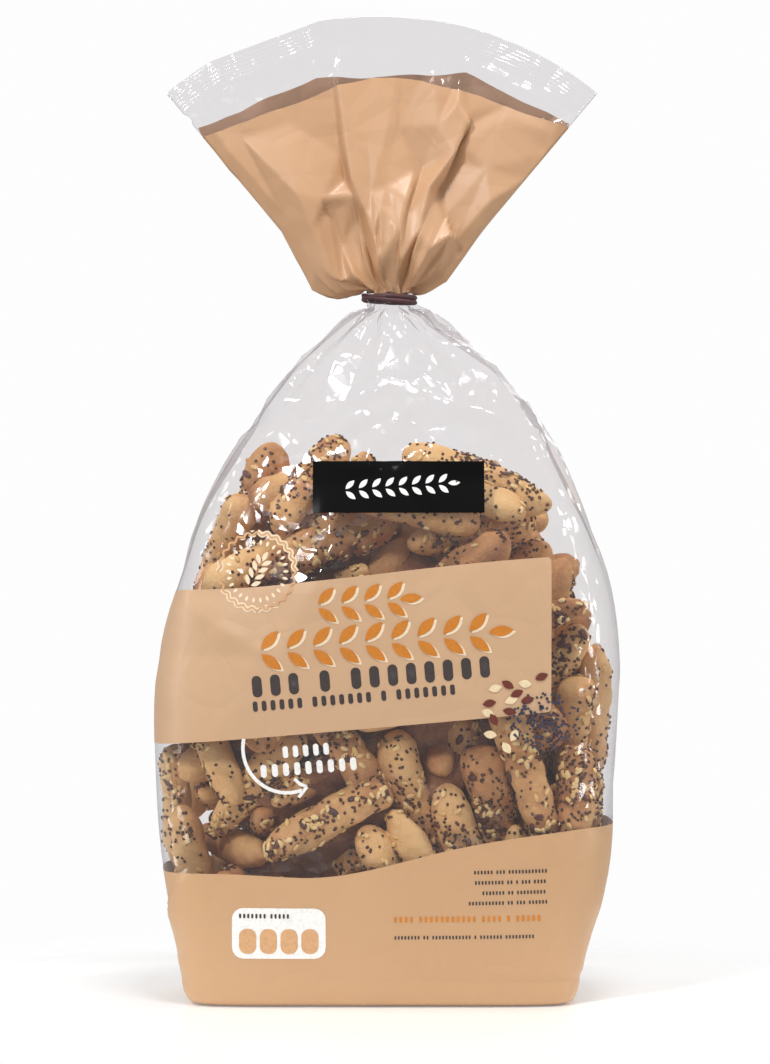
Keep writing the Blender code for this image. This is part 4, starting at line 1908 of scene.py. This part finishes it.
def motifs() -> list[Motif]:
    """The whole of the small print, from the lowest layer to the highest.

    Returns:
        The motifs.
    """
    art = Artwork()
    rng = np.random.default_rng(art.seed)
    slant = art.slant
    badge = (-0.0431, 0.1472)
    first, second = (-0.0080, 0.1368), (-0.0035, 0.1235)
    flax = (
        (0.0412, 0.1092, -30), (0.0526, 0.1118, 20), (0.0350, 0.1030, 10), (0.0478, 0.1040, 15),
        (0.0418, 0.1002, -10), (0.0442, 0.1062, 25), (0.0365, 0.0975, -60),
    )
    shell = (
        (0.0370, 0.1080, 12), (0.0470, 0.1095, -8), (0.0424, 0.1040, 20), (0.0345, 0.0998, -18),
        (0.0434, 0.0922, 62), (0.0408, 0.0880, -55), (0.0353, 0.0925, -8),
    )
    heap: list[list] = []
    for _ in range(210):
        angle, reach = rng.uniform(0, 2 * math.pi), 0.0105 * rng.random() ** 0.62
        x, z = 0.0540 + 1.15 * reach * math.cos(angle), 0.0965 + reach * math.sin(angle)
        heap.append(grain(x, z, 0.00115, 0.0009, rng.uniform(0, 180), 4))
    title = ear(*first, 0.031, 0.0125, slant, 4) + ear(*second, 0.079, 0.0140, slant, 9)
    shadow = [[(x + 0.0009, z - 0.0006) for x, z in outline] for outline in title]
    white = art.words(-0.0335, 0.0865, (5,), 0.0040, slant) + art.words(-0.0408, 0.0800, (9,), 0.0044, slant)
    pills = [bar(-0.0463 + 0.0070 * k, 0.0225, 0.0058, 0.0085, 0.0, 0.3) for k in range(4)]
    line_small = art.words(-0.0436, 0.1018, (6, 7, 1, 7), 0.0035, slant)
    line_orange = art.words(0.0035, 0.0300, (4, 11, 4, 1, 5), 0.0021, 0.5)
    line_last = art.words(0.0035, 0.0238, (8, 2, 12, 1, 7, 9), 0.0013, 0.5)
    dashes: list[list] = []
    for k, count in enumerate(((6, 3, 12), (9, 2, 1, 3, 4), (7, 2, 9), (11, 2, 3, 6))):
        width = sum(count) * 0.00095 + (len(count) - 1) * 0.0008
        dashes += art.words(0.0518 - width, 0.0460 - k * 0.0035, count, 0.0013, 1.0)
    return [
        Motif("panel_black", INK_BLACK, [bar(0.0046, 0.1757, 0.0580, 0.0175, 0.0, 0.02)], UNDERPRINT),
        Motif("panel_black_ear", INK_WHITE, ear(0.0040, 0.1757, 0.036, 0.0070, 4.0, 8), OVERPRINT),
        Motif("title_shadow", INK_CREAM, shadow, UNDERPRINT),
        Motif("title_ears", INK_ORANGE, title, OVERPRINT),
        Motif("line_dark", INK_GREY, art.words(-0.0430, 0.1085, (3, 1, 8), 0.0072, slant), UNDERPRINT),
        Motif("line_dark_small", INK_GREY, line_small, UNDERPRINT),
        Motif("badge_ring", INK_CREAM, art.scallops(*badge, 0.0128, 0.0017, 24, 0.0005), UNDERPRINT),
        Motif("badge_line", INK_TAN, art.scallops(*badge, 0.0128, 0.0007, 24, 0.0005), OVERPRINT),
        Motif("badge_dots", INK_CREAM, _dots(*badge, 0.0098, 26), UNDERPRINT),
        Motif("badge_ear", INK_CREAM, ear(badge[0], badge[1], 0.0105, 0.0062, 62.0, 4), UNDERPRINT),
        Motif("arrow_white", INK_WHITE, art.arrow(), UNDERPRINT),
        Motif("line_white", INK_WHITE, white, UNDERPRINT),
        Motif("printed_flax", INK_FLAX, [grain(x, z, 0.0047, 0.0026, a) for x, z, a in flax], TOPPRINT),
        Motif("printed_sesame", INK_SHELL, [grain(x, z, 0.0046, 0.0027, a) for x, z, a in shell], OVERPRINT),
        Motif("printed_poppy", INK_POPPY, heap, TOPPRINT),
        Motif("panel_white", INK_WHITE, [bar(-0.0358, 0.0252, 0.0316, 0.0172, 0.0, 0.22)], UNDERPRINT),
        Motif("panel_pills", INK_TAN, pills, OVERPRINT),
        Motif("panel_heading", INK_GREY, art.words(-0.0488, 0.0311, (7, 5), 0.0016, 0.0), OVERPRINT),
        Motif("small_lines", INK_GREY, dashes, UNDERPRINT),
        Motif("small_line_orange", INK_ORANGE, line_orange, UNDERPRINT),
        Motif("small_line_last", INK_GREY, line_last, UNDERPRINT),
    ]


# --------------------------------------------------------------------------------------------------
# Stage
# --------------------------------------------------------------------------------------------------


@dataclass
class Studio:
    """A pale floor that fades into a pale surround, soft lamps and a level camera."""

    camera_distance: float = 1.30
    camera_height: float = 0.1605
    view_height: float = 0.3698
    floor_radius: float = 0.55
    floor_sides: int = 96
    floor_fade: tuple[float, float] = (0.09, 0.24)
    floor_glow: float = 0.16
    aim_height: float = 0.16
    sky: tuple[tuple[float, float], ...] = ((0.0, 0.62), (0.45, 0.50), (0.60, 0.34), (0.85, 0.62))
    paper: tuple[float, float, float, float] = (0.985, 0.985, 0.985, 1.0)

    def floor(self) -> None:
        """A glossy pale disc that fades out before its rim."""
        graph = Graph("studio_floor")
        away = graph.node("ShaderNodeVectorMath", {"operation": "LENGTH"}, {0: graph.place()})
        fade = Wire(graph, away.outputs["Value"]).stepped(*self.floor_fade)
        shader = graph.principled(
            {
                "Base Color": linear(250, 250, 250),
                "Roughness": 0.16,
                "Emission Color": (1.0, 1.0, 1.0, 1.0),
                "Emission Strength": self.floor_glow,
            }
        )
        clear = Wire(graph, graph.node("ShaderNodeBsdfTransparent").outputs[0])
        both = graph.node("ShaderNodeMixShader", {}, {0: fade, 1: shader, 2: clear})
        material = graph.finish(Wire(graph, both.outputs[0]))
        sides = self.floor_sides
        turn = 2 * np.pi * np.arange(sides) / sides
        circle = np.stack([np.cos(turn), np.sin(turn), np.zeros(sides)], axis=1)
        rings = [circle * radius for radius in (0.002, self.floor_radius)]
        faces = [[k, sides + k, sides + (k + 1) % sides, (k + 1) % sides] for k in range(sides)]
        faces.append(list(range(sides)))
        floor = mesh_piece("floor", np.concatenate(rings), faces, smooth=False)
        floor.location.z = -0.0002
        floor.data.materials.append(material)

    def surround(self) -> None:
        """A world that is pale round the horizon and below, and greyer overhead."""
        graph = WorldGraph("studio")
        place = Wire(graph, graph.node("ShaderNodeTexCoord").outputs["Generated"])
        parts = graph.node("ShaderNodeSeparateXYZ", {}, {0: place})
        height = Wire(graph, parts.outputs["Z"]) * 0.5 + 0.5
        greys = graph.ramp(height, [(spot, (level, level, level, 1.0)) for spot, level in self.sky])
        room = Wire(graph, graph.node("ShaderNodeBackground", {}, {"Color": greys}).outputs[0])
        paper = Wire(graph, graph.node("ShaderNodeBackground", {}, {"Color": self.paper}).outputs[0])
        seen = Wire(graph, graph.node("ShaderNodeLightPath").outputs["Is Camera Ray"])
        chosen = graph.node("ShaderNodeMixShader", {}, {0: seen, 1: room, 2: paper})
        graph.send(Wire(graph, chosen.outputs[0]))

    def lamp(self, name: str, place: tuple, size: tuple[float, float], power: float) -> None:
        """A soft rectangular lamp that faces the bag.

        Args:
            name: the lamp's name.
            place: where it stands.
            size: width and height.
            power: watts.
        """
        data = bpy.data.lights.new(name, "AREA")
        data.shape = "RECTANGLE"
        data.size, data.size_y = size
        data.energy = power
        made = bpy.data.objects.new(name, data)
        made.location = place
        aim = Vector((0.0, 0.0, self.aim_height)) - Vector(place)
        made.rotation_euler = aim.to_track_quat("-Z", "Y").to_euler()
        bpy.context.scene.collection.objects.link(made)

    def build(self) -> None:
        """Sets up the floor, surround, lamps and camera."""
        self.floor()
        self.surround()
        self.lamp("key", (-0.62, -1.05, 0.95), (0.16, 0.22), 8.6)
        self.lamp("fill", (1.15, -0.10, 0.40), (0.14, 0.70), 4.0)
        self.lamp("side", (-1.15, 0.05, 0.40), (0.25, 0.80), 3.0)
        self.lamp("top", (0.1, -0.35, 1.2), (0.26, 0.09), 6.2)
        self.lamp("back", (0.3, 1.1, 0.7), (0.8, 0.5), 5.0)
        data = bpy.data.cameras.new("camera")
        data.sensor_width = 36.0
        data.lens = 36.0 * self.camera_distance / self.view_height
        data.clip_start = 0.01
        camera = bpy.data.objects.new("camera", data)
        camera.location = (0.0, -self.camera_distance, self.camera_height)
        camera.rotation_euler = (math.pi / 2, 0.0, 0.0)
        bpy.context.scene.collection.objects.link(camera)
        bpy.context.scene.camera = camera
        bpy.context.scene.view_settings.view_transform = "Standard"


# --------------------------------------------------------------------------------------------------
# Putting it together
# --------------------------------------------------------------------------------------------------


def main() -> None:
    """Builds the whole bag in order and reports each piece."""
    logging.basicConfig(level=logging.INFO, format="%(name)s %(message)s")
    film = FilmSheet()
    shell = dress(film.piece(), ClearFilm().material())
    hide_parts("bag")
    tan = TanInk("ink_tan", (206, 168, 132), (198, 159, 122))
    fan_tan = TanInk("ink_tan_fan", (200, 157, 119), (190, 145, 106)).material()
    low_tan = TanInk("ink_tan_base", (200, 159, 118), (193, 151, 110)).material()
    fields = TanFields()
    dress(film.cut("base_field", fields.base, 0.00010), low_tan)
    dress(film.cut("label_field", fields.label, 0.00012), tan.material())
    dress(film.cut("fan_field", fields.fan(), 0.00010), fan_tan)
    artist = FrontPrint(film)
    inks: dict[str, bpy.types.Material] = {}
    for motif in motifs():
        ink = inks.get(motif.ink.name) or motif.ink.material()
        inks[motif.ink.name] = ink
        dress(artist.lay(motif.name, motif.outlines, motif.proud), ink)
    heap = Heap(film)
    crust = BakedCrust().material()
    dress(heap.sticks_piece(), crust)
    # The core's dark crust is painted shade between the sticks.
    dress(ShadeCore(film).piece(), crust)
    coats = {
        SeedKind.SESAME: SeedCoat("sesame_coat", (248, 220, 160), (228, 184, 112), 0.5),
        SeedKind.FLAX: SeedCoat("flax_coat", (112, 62, 46), (70, 38, 32), 0.3),
        SeedKind.POPPY: SeedCoat("poppy_coat", (112, 70, 44), (66, 38, 24), 0.6),
    }
    scatter = SeedScatter(heap)
    for kind, coat in coats.items():
        dress(scatter.piece(kind), coat.material())
    band = dress(NeckBand().piece(), BandYarn().material())
    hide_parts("band")
    Studio().build()


if __name__ == "__main__":
    main()
